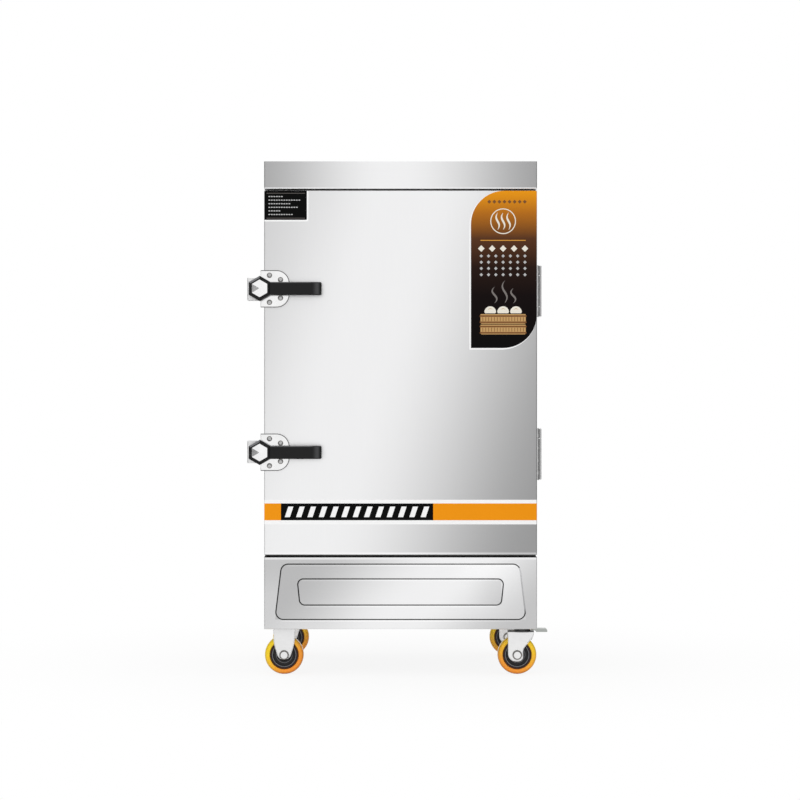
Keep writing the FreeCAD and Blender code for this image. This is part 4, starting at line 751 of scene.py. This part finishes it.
# %% The band across the door
FILM_GAP = 0.7
SIDE = door_high.x / MM - FILM_GAP
BAND_LOW, BAND_HIGH = 389.0, 452.0
STRIPE_LOW, STRIPE_HIGH = 399.5, 442.6
BLOCK_LEFT, BLOCK_RIGHT = -306.7, 83.6
door_print("band_white", [rectangle(-SIDE, SIDE, BAND_LOW, BAND_HIGH)], 0, white_vinyl)
stripes = [rectangle(left, right, STRIPE_LOW, STRIPE_HIGH)
           for left, right in ((-SIDE, BLOCK_LEFT), (BLOCK_RIGHT, SIDE))]
door_print("band_orange", stripes, 1, orange_vinyl)
door_print("band_block", [rectangle(BLOCK_LEFT, BLOCK_RIGHT, STRIPE_LOW, STRIPE_HIGH)], 1, black_vinyl)
BAR_HEIGHT, BAR_WIDTH, BAR_LEAN, BAR_COUNT = 27.0, 13.0, 9.0, 13
BAR_MARGIN = 21
bar = [((side * BAR_WIDTH + level * BAR_LEAN) / 2, level * BAR_HEIGHT / 2)
       for side, level in ((-1, -1), (1, -1), (1, 1), (-1, 1))]
block_middle = ((BLOCK_LEFT + BLOCK_RIGHT) / 2, (STRIPE_LOW + STRIPE_HIGH) / 2)
bars_span = (BLOCK_RIGHT - BLOCK_LEFT - 2 * BAR_MARGIN, 0)
door_row("band_bars", bar, 2, white_vinyl, (BAR_COUNT, 1), bars_span, block_middle)

# %% [markdown]
# The poster in the upper right corner has two round corners and two square ones, a thin white edge and
# a fade from orange through brown to black. Its pictures are generic ones: steam in a ring at the top, a
# field of diamonds, and a stack of bamboo steaming baskets with buns at the foot.

# %% Poster sheet and fade
POSTER_LEFT, POSTER_BOTTOM, POSTER_RADIUS = 176.5, 837.0, 90.0
POSTER_TOP = door_high.z / MM - FILM_GAP
RIM = 4.0
poster_fade = faded_vinyl("poster_fade", POSTER_BOTTOM * MM, POSTER_TOP * MM, [
    (0.0, (0.002, 0.002, 0.002, 1)), (0.34, (0.006, 0.003, 0.003, 1)), (0.52, (0.020, 0.009, 0.006, 1)),
    (0.70, (0.095, 0.036, 0.015, 1)), (0.86, (0.45, 0.15, 0.012, 1)), (1.0, (0.82, 0.31, 0.008, 1))])
POSTER_LAYERS = (("edge", 0, white_vinyl), ("field", RIM, poster_fade))
for level, (name, rim, finish) in enumerate(POSTER_LAYERS):
    round_corner = POSTER_RADIUS - rim
    outline = rectangle(POSTER_LEFT + rim, SIDE, POSTER_BOTTOM + rim, POSTER_TOP, (0, round_corner) * 2)
    door_print("poster_" + name, [outline], level, finish)
print("poster from", POSTER_BOTTOM, "to", round(POSTER_TOP, 1), "mm above the floor")


# %% Strokes and rings
def stroke(points, width):
    """A ribbon along a line of points, widest at its middle."""
    left, right = [], []
    for i, (x, z) in enumerate(points):
        before = points[max(i - 1, 0)]
        after = points[min(i + 1, len(points) - 1)]
        run = math.hypot(after[0] - before[0], after[1] - before[1])
        across = ((before[1] - after[1]) / run * width / 2, (after[0] - before[0]) / run * width / 2)
        taper = math.sin(math.pi * (i + 0.6) / (len(points) + 0.2))
        left.append((x + across[0] * taper, z + across[1] * taper))
        right.append((x - across[0] * taper, z - across[1] * taper))
    return left + right[::-1]


def curl(x, z, height, sway, width):
    """A wisp of steam that sways once on its way up."""
    steps = 18
    points = [(x + sway * math.sin(2 * math.pi * i / steps), z + height * i / steps)
              for i in range(steps + 1)]
    return stroke(points, width)


def ring(centre, outer, inner):
    """Two half rings, because an outline can't have a hole."""
    return [arc(centre, outer, start, start + 180) + arc(centre, inner, start + 180, start)
            for start in (0, 180)]


def diamond(half):
    return arc((0, 0), half, 0, 270, 3)


print("points of a wisp:", len(curl(0, 0, 44, 4, 5)))

# %% Pictures on the upper part of the poster
POSTER_X = (POSTER_LEFT + SIDE) / 2
RING_LEVEL, STEAM_LEVEL, RULE_LEVEL = 1166, 1144, 1116


def strip(half, bottom, height, radii=(0, 0, 0, 0)):
    """A rectangle across the middle of the poster."""
    return rectangle(POSTER_X - half, POSTER_X + half, bottom, bottom + height, radii)


door_print("poster_ring", ring((POSTER_X, RING_LEVEL), outer=33, inner=30.5), 2, cream_ink)
steam = [curl(POSTER_X + dx, STEAM_LEVEL, height=44, sway=4, width=5) for dx in (-14, 0, 14)]
door_print("poster_steam", steam, 2, cream_ink)
door_print("poster_rule", [strip(58, RULE_LEVEL, 2)], 2, amber_ink)
for name, half, ink, counts, spans, place in (
        ("heading", 5.0, brown_ink, (8, 1), (91, 0), (POSTER_X + 10, 1216)),
        ("diamonds", 8.5, cream_ink, (5, 1), (112, 0), (POSTER_X, 1096)),
        ("small_diamonds", 4.4, pale_ink, (7, 4), (112, 48), (POSTER_X, 1053))):
    door_row("poster_" + name, diamond(half), 2, ink, counts, spans, place)

# %% The stacked baskets at the foot of the poster
TIER, BASKET_FOOT = 27.0, 876.0
BASKET_HALF, HOOP_HALF = 58, 60
tiers = [BASKET_FOOT, BASKET_FOOT + TIER]
baskets = [strip(BASKET_HALF, z, TIER - 2, (4, 4, 2, 2)) for z in tiers]
door_print("poster_baskets", baskets, 2, tan_ink)
hoops = [strip(HOOP_HALF, z + dz, 4, (1, 1, 1, 1)) for z in tiers for dz in (2, 18)]
door_print("poster_hoops", hoops, 3, brown_ink)
slats_middle = (POSTER_X, BASKET_FOOT + 12 + TIER / 2)
door_row("poster_slats", rectangle(-0.7, 0.7, -5, 5), 3, brown_ink, (15, 2), (104, TIER), slats_middle)
bun = arc((0, 0), 15, 0, 180, 14) + [(-13, -3), (13, -3)]
pleat = stroke([(-6 + i, 6 + 3 * math.sin(i * 0.26)) for i in range(13)], 1.2)
buns_middle = (POSTER_X, BASKET_FOOT + 57)
door_row("poster_buns", bun, 2, cream_ink, (3, 1), (66, 0), buns_middle)
door_row("poster_pleats", pleat, 3, tan_ink, (3, 1), (66, 0), buns_middle)
wisps = [curl(POSTER_X + dx, BASKET_FOOT + 80, height, sway=6, width=5)
         for dx, height in ((-22, 42), (4, 58), (26, 38))]
door_print("poster_wisps", wisps, 2, grey_ink)

# %% [markdown]
# The plate in the upper left corner is a thin black sheet with a light edge. It stays without words:
# it only gets two fine lines and some rows of small dashes, each row with its own count.

# %% The small plate
PLATE_RIGHT, PLATE_BOTTOM = -240.2, 1169.5
PLATE_LAYERS = (("edge", RIM, 5.0, white_vinyl), ("field", 0, 3.0, black_vinyl))
for level, (name, rim, radius, finish) in enumerate(PLATE_LAYERS):
    outline = rectangle(-SIDE, PLATE_RIGHT + rim, PLATE_BOTTOM - rim, POSTER_TOP, (0, radius, 0, 0))
    door_print("plate_" + name, [outline], level, finish)
for label, z in (("top", POSTER_TOP - 7), ("bottom", PLATE_BOTTOM + 4)):
    door_print("plate_line_" + label, [rectangle(-SIDE + 6, PLATE_RIGHT - 5, z, z + 0.9)], 2, grey_ink)
DASH = rectangle(-2.4, 2.4, -1.3, 1.3, (1.2, 1.2, 1.2, 1.2))
DASH_PITCH, ROW_PITCH = 6.4, 9.2
for row, count in enumerate((6, 13, 9, 12, 5, 10)):
    width = (count - 1) * DASH_PITCH
    place = (-SIDE + 13 + width / 2, POSTER_TOP - 15 - row * ROW_PITCH)
    door_row(f"plate_dashes_{row + 1}", DASH, 2, pale_ink, (count, 1), (width, 0), place)

# %% [markdown]
# Screws and rivets hold the real sheets together. A screw head is turned once by spinning a profile,
# then a cross-shaped pit is sunk into its top. A Geometry Nodes tree puts a copy on each seat, turns it
# to face outwards, and spins it by a random but fixed angle, because no two screws stop alike.

# %% Loops of points
def circle(radius, sides):
    return arc((0, 0), radius, 0, 360, sides)[:-1]


def cross(reach, width):
    """The outline of a cross recess: a quarter of it, turned by a right angle each time."""
    half = width / 2
    quarter = [(reach, -half), (reach, half), (half, half)]
    points = []
    for turn in range(4):
        points += quarter
        quarter = [(-y, x) for x, y in quarter]
    return points


def pairs(loop):
    """Each item of a closed loop together with the next one."""
    return list(zip(loop, loop[1:] + loop[:1]))


def bridge(form, first, second):
    """Faces between two closed loops of as many points."""
    for (a, b), (c, d) in zip(pairs(first), pairs(second)):
        form.faces.new((a, b, d, c))


print("points of a cross:", len(cross(0.5, 0.2)))


# %% Screw and rivet heads
def head_mesh(name, size, profile, recess, depth):
    """A turned head with a pit in its flat top, drawn with a radius of 1 and then scaled to size."""
    form = bmesh.new()
    rings = [[form.verts.new((x, y, height)) for x, y in circle(radius, 24)]
             for radius, height in profile]
    for lower, upper in zip(rings, rings[1:]):
        bridge(form, lower, upper)
    form.faces.new(rings[0][::-1])
    top = profile[-1][1]
    mouth = [form.verts.new((x, y, top)) for x, y in recess]
    floor = [form.verts.new((x * 0.7, y * 0.7, top - depth)) for x, y in recess]
    bridge(form, mouth, floor)
    form.faces.new(floor)
    edges = [form.edges.get(pair) for loop in (rings[-1], mouth) for pair in pairs(loop)]
    bmesh.ops.triangle_fill(form, edges=edges, use_beauty=True)
    bmesh.ops.scale(form, vec=(size, size, size), verts=form.verts)
    mesh = as_mesh(form, name)
    for face in mesh.polygons:
        face.use_smooth = len(face.vertices) == 4
    return mesh


def disc_mesh(name, radius, height):
    form = bmesh.new()
    top = radius * 0.95
    bmesh.ops.create_cone(form, cap_ends=True, segments=24, radius1=radius, radius2=top, depth=height)
    bmesh.ops.translate(form, vec=(0, 0, height / 2), verts=form.verts)
    return as_mesh(form, name)


# The profiles give radius and height from the rim up to the flat top.
PAN_HEAD = ((1, 0), (1, 0.25), (0.92, 0.48), (0.72, 0.62), (0.62, 0.64))
DOME_HEAD = ((1, 0), (0.97, 0.14), (0.75, 0.36), (0.4, 0.42))
M5 = head_mesh("screw_m5", 5.0 * MM, PAN_HEAD, cross(0.5, 0.2), 0.4)
M4 = head_mesh("screw_m4", 3.8 * MM, PAN_HEAD, cross(0.5, 0.2), 0.4)
RIVET = head_mesh("rivet", 3.4 * MM, DOME_HEAD, circle(0.22, 12), 0.3)
# A thin dark disc to lie under a screw head as painted shadow.
SHADOW_DISC = disc_mesh("screw_shadow_disc", 7.0 * MM, 0.25 * MM)
print("faces of a screw head:", len(M5.polygons))


# %% Put heads on seats
def seat_recipe():
    """A head on each point, turned to face outwards and spun by a random angle."""
    recipe = Recipe("heads_on_seats")
    head = recipe.size("Head", "Object")
    seed = recipe.size("Seed", "Int", 1)
    facing = recipe.node("GeometryNodeInputNamedAttribute", {"Name": "facing"}, data_type="FLOAT_VECTOR")
    turned = recipe.node("FunctionNodeAlignRotationToVector", {"Vector": facing}, axis="Z")
    info = recipe.node("GeometryNodeObjectInfo", {"Object": head}, "Geometry")
    placed = recipe.node("GeometryNodeInstanceOnPoints", {
        "Points": recipe.start.outputs["Geometry"], "Instance": info, "Rotation": turned})
    draw = {"Max": 2 * math.pi, "Seed": seed}
    angle = recipe.node("FunctionNodeRandomValue", draw, 1, data_type="FLOAT")
    spin = recipe.node("ShaderNodeCombineXYZ", {"Z": angle})
    spun = {"Instances": placed, "Rotation": spin, "Local Space": True}
    recipe.close(recipe.node("GeometryNodeRotateInstances", spun))
    return recipe


heads_on_seats = seat_recipe()
AHEAD, BEHIND, RIGHT, LEFT, DOWN = (0, -1, 0), (0, 1, 0), (1, 0, 0), (-1, 0, 0), (0, 0, -1)


def fasten(name, head, seats, facing, seed, body="cabinet", material=drawn_steel):
    """One mesh of heads for one body. Seats are points in metres, and all face the same way."""
    points = bpy.data.meshes.new(name + "_seats")
    points.from_pydata(seats, [], [])
    attribute = points.attributes.new("facing", "FLOAT_VECTOR", "POINT")
    for item in attribute.data:
        item.vector = facing
    shape = new_piece(name + "_head", head, material)
    grow(name, heads_on_seats, points, {"Head": shape, "Seed": seed, "Material": material}, body)
    bpy.data.objects.remove(shape)


# %% Latch plate screws
LATCH_SCREWS = ((24.0, 34.6), (52.3, 23.3), (24.0, -34.6), (52.3, -23.3))
LATCH_PLATE_DEPTH = 7 * MM
hubs = [middle("handle_cap_" + which) for which in ("upper", "lower")]
plate_face = DOOR_FACE - LATCH_PLATE_DEPTH
seats = [(hub.x + dx * MM, plate_face, hub.z + dz * MM) for hub in hubs for dx, dz in LATCH_SCREWS]
fasten("latch_plate_screws", M5, seats, AHEAD, 3, "door", screw_steel)
# A thin dark disc under each latch screw is painted shadow round its head.
fasten("latch_plate_sinks", SHADOW_DISC, seats, AHEAD, 3, "door", dark_steel)

# %% Hinge screws
LEAF_THICKNESS, HINGE_HALF = 2.5 * MM, 65 * MM
leaf_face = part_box("side_panel_right")[1].x + LEAF_THICKNESS
LEAF_HOLES = (-48, -16, 16, 48)
leaf_low, leaf_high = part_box("hinge_leaves_cabinet")
barrel = middle("hinge_pins")
hinge_levels = [leaf_high.z - HINGE_HALF, leaf_low.z + HINGE_HALF]
for body, dy in (("cabinet", 25), ("door", -24)):
    seats = [(leaf_face, barrel.y + dy * MM, z + dz * MM) for z in hinge_levels for dz in LEAF_HOLES]
    fasten("hinge_screws_" + body, M4, seats, RIGHT, 5, body)

# %% Screws of the rear cover, the water box, the vent and the back panel
back_low, back_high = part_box("back_panel")
cover_low, cover_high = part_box("rear_service_cover")
cover_face = back_high.y + 1.0 * MM
MARGIN = 6 * MM
columns = (cover_low.x + MARGIN, (cover_low.x + cover_high.x) / 2, cover_high.x - MARGIN)
seats = [(x, cover_face, z) for x in columns for z in (cover_low.z + MARGIN, cover_high.z - MARGIN)]
fasten("service_cover_screws", M4, seats, BEHIND, 7)
box_low, box_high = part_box("float_chamber")
seats = [(x, cover_face, z) for x in (box_low.x + MARGIN, box_high.x - MARGIN)
         for z in (box_low.z + 20 * MM, box_low.z + 62 * MM, box_high.z - 20 * MM)]
fasten("water_box_screws", M4, seats, BEHIND, 8)
VENT_RADIUS, VENT_LEVEL, FLANGE = 22 * MM, 1.150, 3 * MM
seats = [(x, back_high.y + FLANGE, z) for x, z in arc((0, VENT_LEVEL), VENT_RADIUS, 45, 315, 3)]
fasten("vent_screws", M4, seats, BEHIND, 9)
RIVET_ROWS, FIRST_ROW = 10, 30 * MM
rise = back_high.z - back_low.z - 2 * FIRST_ROW
heights = [back_low.z + FIRST_ROW + rise * i / (RIVET_ROWS - 1) for i in range(RIVET_ROWS)]
seats = [(side * (back_high.x - 8 * MM), back_high.y, z) for side in (-1, 1) for z in heights]
seats += [(x * MM, back_high.y, back_high.z - 10 * MM) for x in range(-280, 281, 80)]
fasten("back_panel_rivets", RIVET, seats, BEHIND, 10)

# %% Keeper and caster screws
KEEPER_THICKNESS, KEEPER_INSET, KEEPER_HOLES = 3 * MM, 12 * MM, (-18, 18)
keeper_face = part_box("side_panel_left")[0].x - KEEPER_THICKNESS
keeper_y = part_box("latch_keepers")[1].y - KEEPER_INSET
seats = [(keeper_face, keeper_y, hub.z + dz * MM) for hub in hubs for dz in KEEPER_HOLES]
fasten("keeper_screws", M4, seats, LEFT, 11)
PLATE_THICKNESS, BOLT_INSET = 3 * MM, 10
for label, size_x, size_y in (("rigid_forks", 92, 64), ("swivel_plates", 64, 92)):
    low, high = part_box(label)
    x = (low.x + high.x) / 2
    dx, dy = (size_x / 2 - BOLT_INSET) * MM, (size_y / 2 - BOLT_INSET) * MM
    seats = [(x + sx * dx, y + sy * dy, high.z - PLATE_THICKNESS)
             for y in (low.y + size_y / 2 * MM, high.y - size_y / 2 * MM) for sx in (-1, 1) for sy in (-1, 1)]
    fasten(label + "_bolts", M5, seats, DOWN, 12, material=zinc)

# %% [markdown]
# The wheels show rings between the axle and the tyre: a bearing cover, a grey raised ring and a dark
# brown one at the foot of the tyre. Each ring is turned on the lathe, that is, a small profile is spun
# about the axle, on both faces of the wheel. The tread is turned in the same way, with round shoulders.

# %% Turned rings and treads
def turned(name, profile, centre, side, material, body, steps=64):
    """Spins a closed profile of (radius, height) in mm about an axle along Y, on one side of the wheel."""
    form = bmesh.new()
    profile = [(r * MM, h * MM) for r, h in profile]
    rings = []
    for across, up in circle(1, steps):
        spots = [(centre.x + r * across, centre.y + side * h, centre.z + r * up) for r, h in profile]
        rings.append([form.verts.new(spot) for spot in spots])
    for first, second in pairs(rings):
        bridge(form, first, second)
    mesh = as_mesh(form, name)
    mesh.shade_smooth()
    piece = new_piece(name, mesh, material)
    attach(piece, body)
    return piece


def ring_profile(inner, outer, foot, rise):
    """A low half-round bead between two radii."""
    centre, half = (inner + outer) / 2, (outer - inner) / 2
    crown = [(centre + half * across, foot + rise * up) for across, up in arc((0, 0), 1, 180, 0, 6)]
    return [(inner, foot - 0.6)] + crown + [(outer, foot - 0.6)]


def tread_profile(hub, rim, half, shoulder):
    """Half-round shoulders between the hub seat and the running face."""
    upper = arc((rim - shoulder, half - shoulder), shoulder, 0, 90, 8)
    upper += [(hub + 2.0, half - 0.2), (hub, half - 1.6)]
    return upper + [(r, -h) for r, h in reversed(upper)]


print("points of a ring's profile:", len(ring_profile(19.5, 21.5, 11.0, 0.8)))

# %% Rings and treads of the four wheels
ring_grey = moulded("ring_grey_nylon", (0.16, 0.16, 0.17), 0.30, 0.001, 0.00002)
ring_brown = moulded("ring_brown_nylon", (0.060, 0.018, 0.012), 0.35, 0.001, 0.00002, gloss=0.2)
WHEEL_RINGS = (("brown", (33.6, 36.2, 16.0, 0.8), ring_brown), ("grey", (29.2, 31.4, 15.9, 0.9), ring_grey),
               ("inner", (19.5, 21.5, 11.0, 0.8), ring_grey))
TREAD_SEAT, SHOULDER = 36.4, 6.5
WHEEL_SIDES = ((-1, "front"), (1, "back"))
CARRIERS = {"left_front": "cabinet", "left_rear": "cabinet",
            "right_front": "caster_front_right", "right_rear": "caster_rear_right"}
for wheel in CARRIERS:
    centre = middle("caster_hub_" + wheel)
    low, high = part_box("caster_tread_" + wheel)
    profile = tread_profile(TREAD_SEAT, (high.z - low.z) / 2 / MM, (high.y - low.y) / 2 / MM, SHOULDER)
    tread_finish = nodes["caster_tread_" + wheel].data.materials[0]
    tread = turned("tyre_" + wheel, profile, centre, 1, tread_finish, "wheel_" + wheel, 96)
    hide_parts("caster_tread_" + wheel)
    for side, face in WHEEL_SIDES:
        for label, sizes, finish in WHEEL_RINGS:
            name = f"wheel_{label}_ring_{wheel}_{face}"
            turned(name, ring_profile(*sizes), centre, side, finish, "wheel_" + wheel)
print("wheel rings turned")

# %% [markdown]
# Three more things follow a path. The door seal is a hollow silicone bulb that runs once round the door on
# a flat foot. The caster forks have a rolled rim along the edge of each leg, and the latch plates a bead.
# A tree that turns a line of edges into a curve and gives it a round section makes them all.

# %% Round sections along a path
def tube_recipe():
    recipe = Recipe("tube_on_a_path")
    radius = recipe.size("Radius", "Float", 0.001)
    sides = recipe.size("Sides", "Int", 12)
    path = recipe.node("GeometryNodeMeshToCurve", {"Mesh": recipe.start.outputs["Geometry"]})
    section = recipe.node("GeometryNodeCurvePrimitiveCircle", {"Resolution": sides, "Radius": radius})
    whole = {"Curve": path, "Profile Curve": section, "Fill Caps": True}
    recipe.close(recipe.node("GeometryNodeCurveToMesh", whole))
    return recipe


tubes = tube_recipe()


def tube(name, paths, closed, radius, sides, material, body):
    """Each path is a list of points in metres."""
    verts, edges = [], []
    for path in paths:
        first = len(verts)
        verts += path
        edges += [(first + i, first + i + 1) for i in range(len(path) - 1)]
        if closed:
            edges.append((first + len(path) - 1, first))
    line = bpy.data.meshes.new(name + "_path")
    line.from_pydata(verts, edges, [])
    piece = grow(name, tubes, line, {"Radius": radius, "Sides": sides, "Material": material}, body)
    piece.data.shade_smooth()
    return piece


# %% Door seal
seal_low, seal_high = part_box("door_gasket")
SEAL_FOOT, SEAL_CORNER, BULB_RADIUS, FOOT_DEPTH = 18 * MM, 14 * MM, 5 * MM, 1.5 * MM


def seal_loop(spread):
    """The outline of the seal's box, moved outwards by the spread."""
    return rectangle(seal_low.x - spread, seal_high.x + spread, seal_low.z - spread, seal_high.z + spread,
                     [SEAL_CORNER] * 4)


bulb_path = [(x, seal_high.y - BULB_RADIUS, z) for x, z in seal_loop(-SEAL_FOOT / 2)]
seal = tube("door_seal", [bulb_path], True, BULB_RADIUS, 20, silicone, "door")
foot = bmesh.new()
foot.from_mesh(seal.data)
rings = [[foot.verts.new((x, seal_low.y + depth, z)) for x, z in seal_loop(spread)]
         for spread, depth in ((0, 0), (0, FOOT_DEPTH), (-SEAL_FOOT, FOOT_DEPTH), (-SEAL_FOOT, 0))]
for first, second in pairs(rings):
    bridge(foot, first, second)
bmesh.ops.recalc_face_normals(foot, faces=foot.faces)
foot.to_mesh(seal.data)
foot.free()
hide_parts("door_gasket")
print("seal box", [round(v, 4) for v in seal_low], [round(v, 4) for v in seal_high])

# %% Rolled rims of the fork legs
FORK_FACE = 20.5
RIM_RADIUS = 1.0


def inward(outline, centre, amount):
    """Moves every point of an outline a little towards the middle of the leg."""
    moved = []
    for x, z in outline:
        away = Vector((x, z)) - Vector(centre)
        moved.append(tuple(Vector(centre) + away * (1 - amount / away.length)))
    return moved


def leg_rims(name, corners, radii, centre, x, axles, body):
    """Rims on both legs of each fork. Corners are measured from the swivel's axis, in mm."""
    line = inward(rounded(corners, radii, 10), centre, RIM_RADIUS)
    paths = [[((x + px) * MM, (y + side * (FORK_FACE + 0.1)) * MM, pz * MM) for px, pz in line]
             for y in axles for side in (-1, 1)]
    return tube(name, paths, False, RIM_RADIUS * MM, 8, zinc, body)


RIGID_LEG = [(-27.8, 116), (-26.8, 80), (-13.5, 38), (13.5, 38), (26.8, 80), (27.8, 116)]
SWIVEL_LEG = [(-23.6, 108), (-23.6, 33.3), (15, 33.3), (15, 65), (43, 101), (43, 108)]
leg_rims("rigid_fork_rims", RIGID_LEG, (0, 80, 17, 17, 80, 0), (0, 80), -300.0, (-240, 240), "cabinet")
for end, y in (("front", -240), ("rear", 240)):
    leg_rims("swivel_fork_rims_" + end, SWIVEL_LEG, (0, 20, 12, 24, 6, 0), (0, 70), 301.3, (y,),
             f"caster_{end}_right")

# %% Bead of the latch plates and shadow collars of the axle nuts
PLATE_WIDTH, BEAD_INSET, BEAD_HALF, BEAD_CORNER, BEAD_RADIUS = 74.1, 0.9, 46.6, 32, 1.1
bead_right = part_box("latch_plates")[1].x / MM - BEAD_INSET
bead_left = bead_right - PLATE_WIDTH + 2 * BEAD_INSET
bead_paths = []
for hub in hubs:
    z = hub.z / MM
    outline = rectangle(bead_left, bead_right, z - BEAD_HALF, z + BEAD_HALF, (0, BEAD_CORNER, BEAD_CORNER, 0))
    bead_paths.append([(x * MM, plate_face + 0.2 * MM, level * MM) for x, level in outline])
# The bead's near-black chrome is a painted dark reflection along the edge of each plate.
tube("latch_plate_beads", bead_paths, False, BEAD_RADIUS * MM, 8, painted_reflection_chrome, "door")
# Each axle nut gets a dark collar that is painted shadow round the nut.
SHADOW_COLLAR = ((8.8, 5.4), (8.8, 6.4), (9.4, 6.5), (12.2, 3.7), (12.3, 0.5), (11.6, 0.5))
shadow_collar = [(r, FORK_FACE + h) for r, h in SHADOW_COLLAR]
for wheel, body in CARRIERS.items():
    for side, face in WHEEL_SIDES:
        turned(f"nut_collar_{wheel}_{face}", shadow_collar, middle("caster_hub_" + wheel), side, dark_steel, body)
print("rims, beads and collars placed")

# %% [markdown]
# The floor is a pale sheet that the camera sees as white, apart from the cabinet's own soft shadow. A
# share of plain white light is mixed into it for the camera and for reflections, and that share grows
# away from the cabinet, so no horizon shows.

# %% Floor
FLOOR_REACH = 14.0
GLOW_NEAR, GLOW_FAR = 0.86, 1.0


def floor_finish():
    finish = Finish("studio_floor", {"Roughness": 0.9, "Base Color": (0.9, 0.9, 0.9, 1)})
    seen = finish.node("LightPath", {}, "Is Camera Ray")
    mirrored = finish.node("LightPath", {}, "Is Glossy Ray")
    away = finish.node("VectorMath", {0: finish.place()}, "Value", operation="LENGTH")
    share = finish.between(away, 0.3, 1.5, GLOW_NEAR, GLOW_FAR)
    factor = (seen + mirrored).math("MINIMUM", 1.0) * share
    glow = finish.node("Emission", {})
    blend = finish.node("MixShader", {0: factor, 1: finish.shader.outputs[0], 2: glow})
    finish.tree.links.new(blend.socket, finish.tree.nodes["Material Output"].inputs["Surface"])
    return finish.material


floor_mesh = bpy.data.meshes.new("floor")
corners = [(sx * FLOOR_REACH, sy * FLOOR_REACH, 0) for sx, sy in ((-1, -1), (1, -1), (1, 1), (-1, 1))]
floor_mesh.from_pydata(corners, [], [(0, 1, 2, 3)])
floor = new_piece("floor", floor_mesh, floor_finish())
floor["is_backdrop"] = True
print("floor laid")

# %% [markdown]
# The light is a plain studio: an even white surround, one large soft lamp at the upper left, and a grey
# card on either side. Only reflections see the cards. Polished metal shows nothing but what stands
# around it, so without something dark the caps and forks would be white on white.

# %% Surround
LIGHT_LEVEL, SEEN_LEVEL = 0.92, 1.0
world = bpy.data.worlds.new("studio")
bpy.context.scene.world = world
world.use_nodes = True
path = world.node_tree.nodes.new("ShaderNodeLightPath").outputs
seen = path["Is Camera Ray"]
for ray in ("Is Glossy Ray", "Is Transmission Ray"):
    seen = add_node(world.node_tree, "ShaderNodeMath", {0: seen, 1: path[ray]}, operation="MAXIMUM")
levels = {"Value": seen, "To Min": LIGHT_LEVEL, "To Max": SEEN_LEVEL}
strength = add_node(world.node_tree, "ShaderNodeMapRange", levels)
background = world.node_tree.nodes["Background"]
background.inputs["Color"].default_value = (1, 1, 1, 1)
world.node_tree.links.new(strength, background.inputs["Strength"])
print("surround level", LIGHT_LEVEL)


# %% Lamp and cards
def soft_lamp(name, place, target, size, radiance):
    """A square area lamp whose surface has the given brightness, where 1 is white."""
    data = bpy.data.lights.new(name, "AREA")
    data.shape = "SQUARE"
    data.size = size
    data.energy = math.pi * size * size * radiance
    lamp = add_object(name, data)
    lamp.location = place
    lamp.rotation_euler = (Vector(target) - Vector(place)).to_track_quat("-Z", "Y").to_euler()
    lamp.visible_camera = False
    lamp.visible_glossy = False
    return lamp


def flag(name, x, front, back, level):
    """An upright card at one side that only reflections see."""
    low, high = -0.4, 2.6
    mesh = bpy.data.meshes.new(name)
    mesh.from_pydata([(x, front, low), (x, back, low), (x, back, high), (x, front, high)], [], [(0, 1, 2, 3)])
    finish = Finish(name + "_cloth", {"Base Color": (0, 0, 0, 1), "Roughness": 1.0,
                                      "Emission Color": grey(level) + (1,), "Emission Strength": 1.0})
    card = new_piece(name, mesh, finish.material)
    card.visible_camera = False
    card.visible_diffuse = False
    card.visible_shadow = False
    card.visible_transmission = False
    card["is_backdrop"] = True


key = soft_lamp("key_lamp", (-1.9, -2.6, 2.3), (0, 0, 0.7), 2.0, 1.2)
flag("left_card", -2.4, -3.2, -0.2, 0.22)
flag("right_card", 2.4, -2.6, 1.0, 0.30)
print("lamp energy", round(key.data.energy, 2), "W")

# %% [markdown]
# The camera looks straight along +Y from a little left of the middle, far back, as in the photograph. Its
# axis stays level so that uprights stay upright, and a small lens shift frames the cabinet.

# %% Camera
camera_data = bpy.data.cameras.new("camera")
camera_data.sensor_width = 36.0
camera_data.lens = 112.7
camera_data.shift_x = 0.0237
camera_data.shift_y = -0.0045
camera_data.clip_end = 100.0
camera = add_object("camera", camera_data)
camera.location = (-0.050, -6.720, 0.717)
camera.rotation_euler = (math.radians(90), 0, 0)
bpy.context.scene.camera = camera
bpy.context.scene.view_settings.view_transform = "Standard"
print("camera", tuple(camera.location))

# %% Sizes and the end
low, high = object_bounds()
print("visual box:", [round(v, 4) for v in high - low])
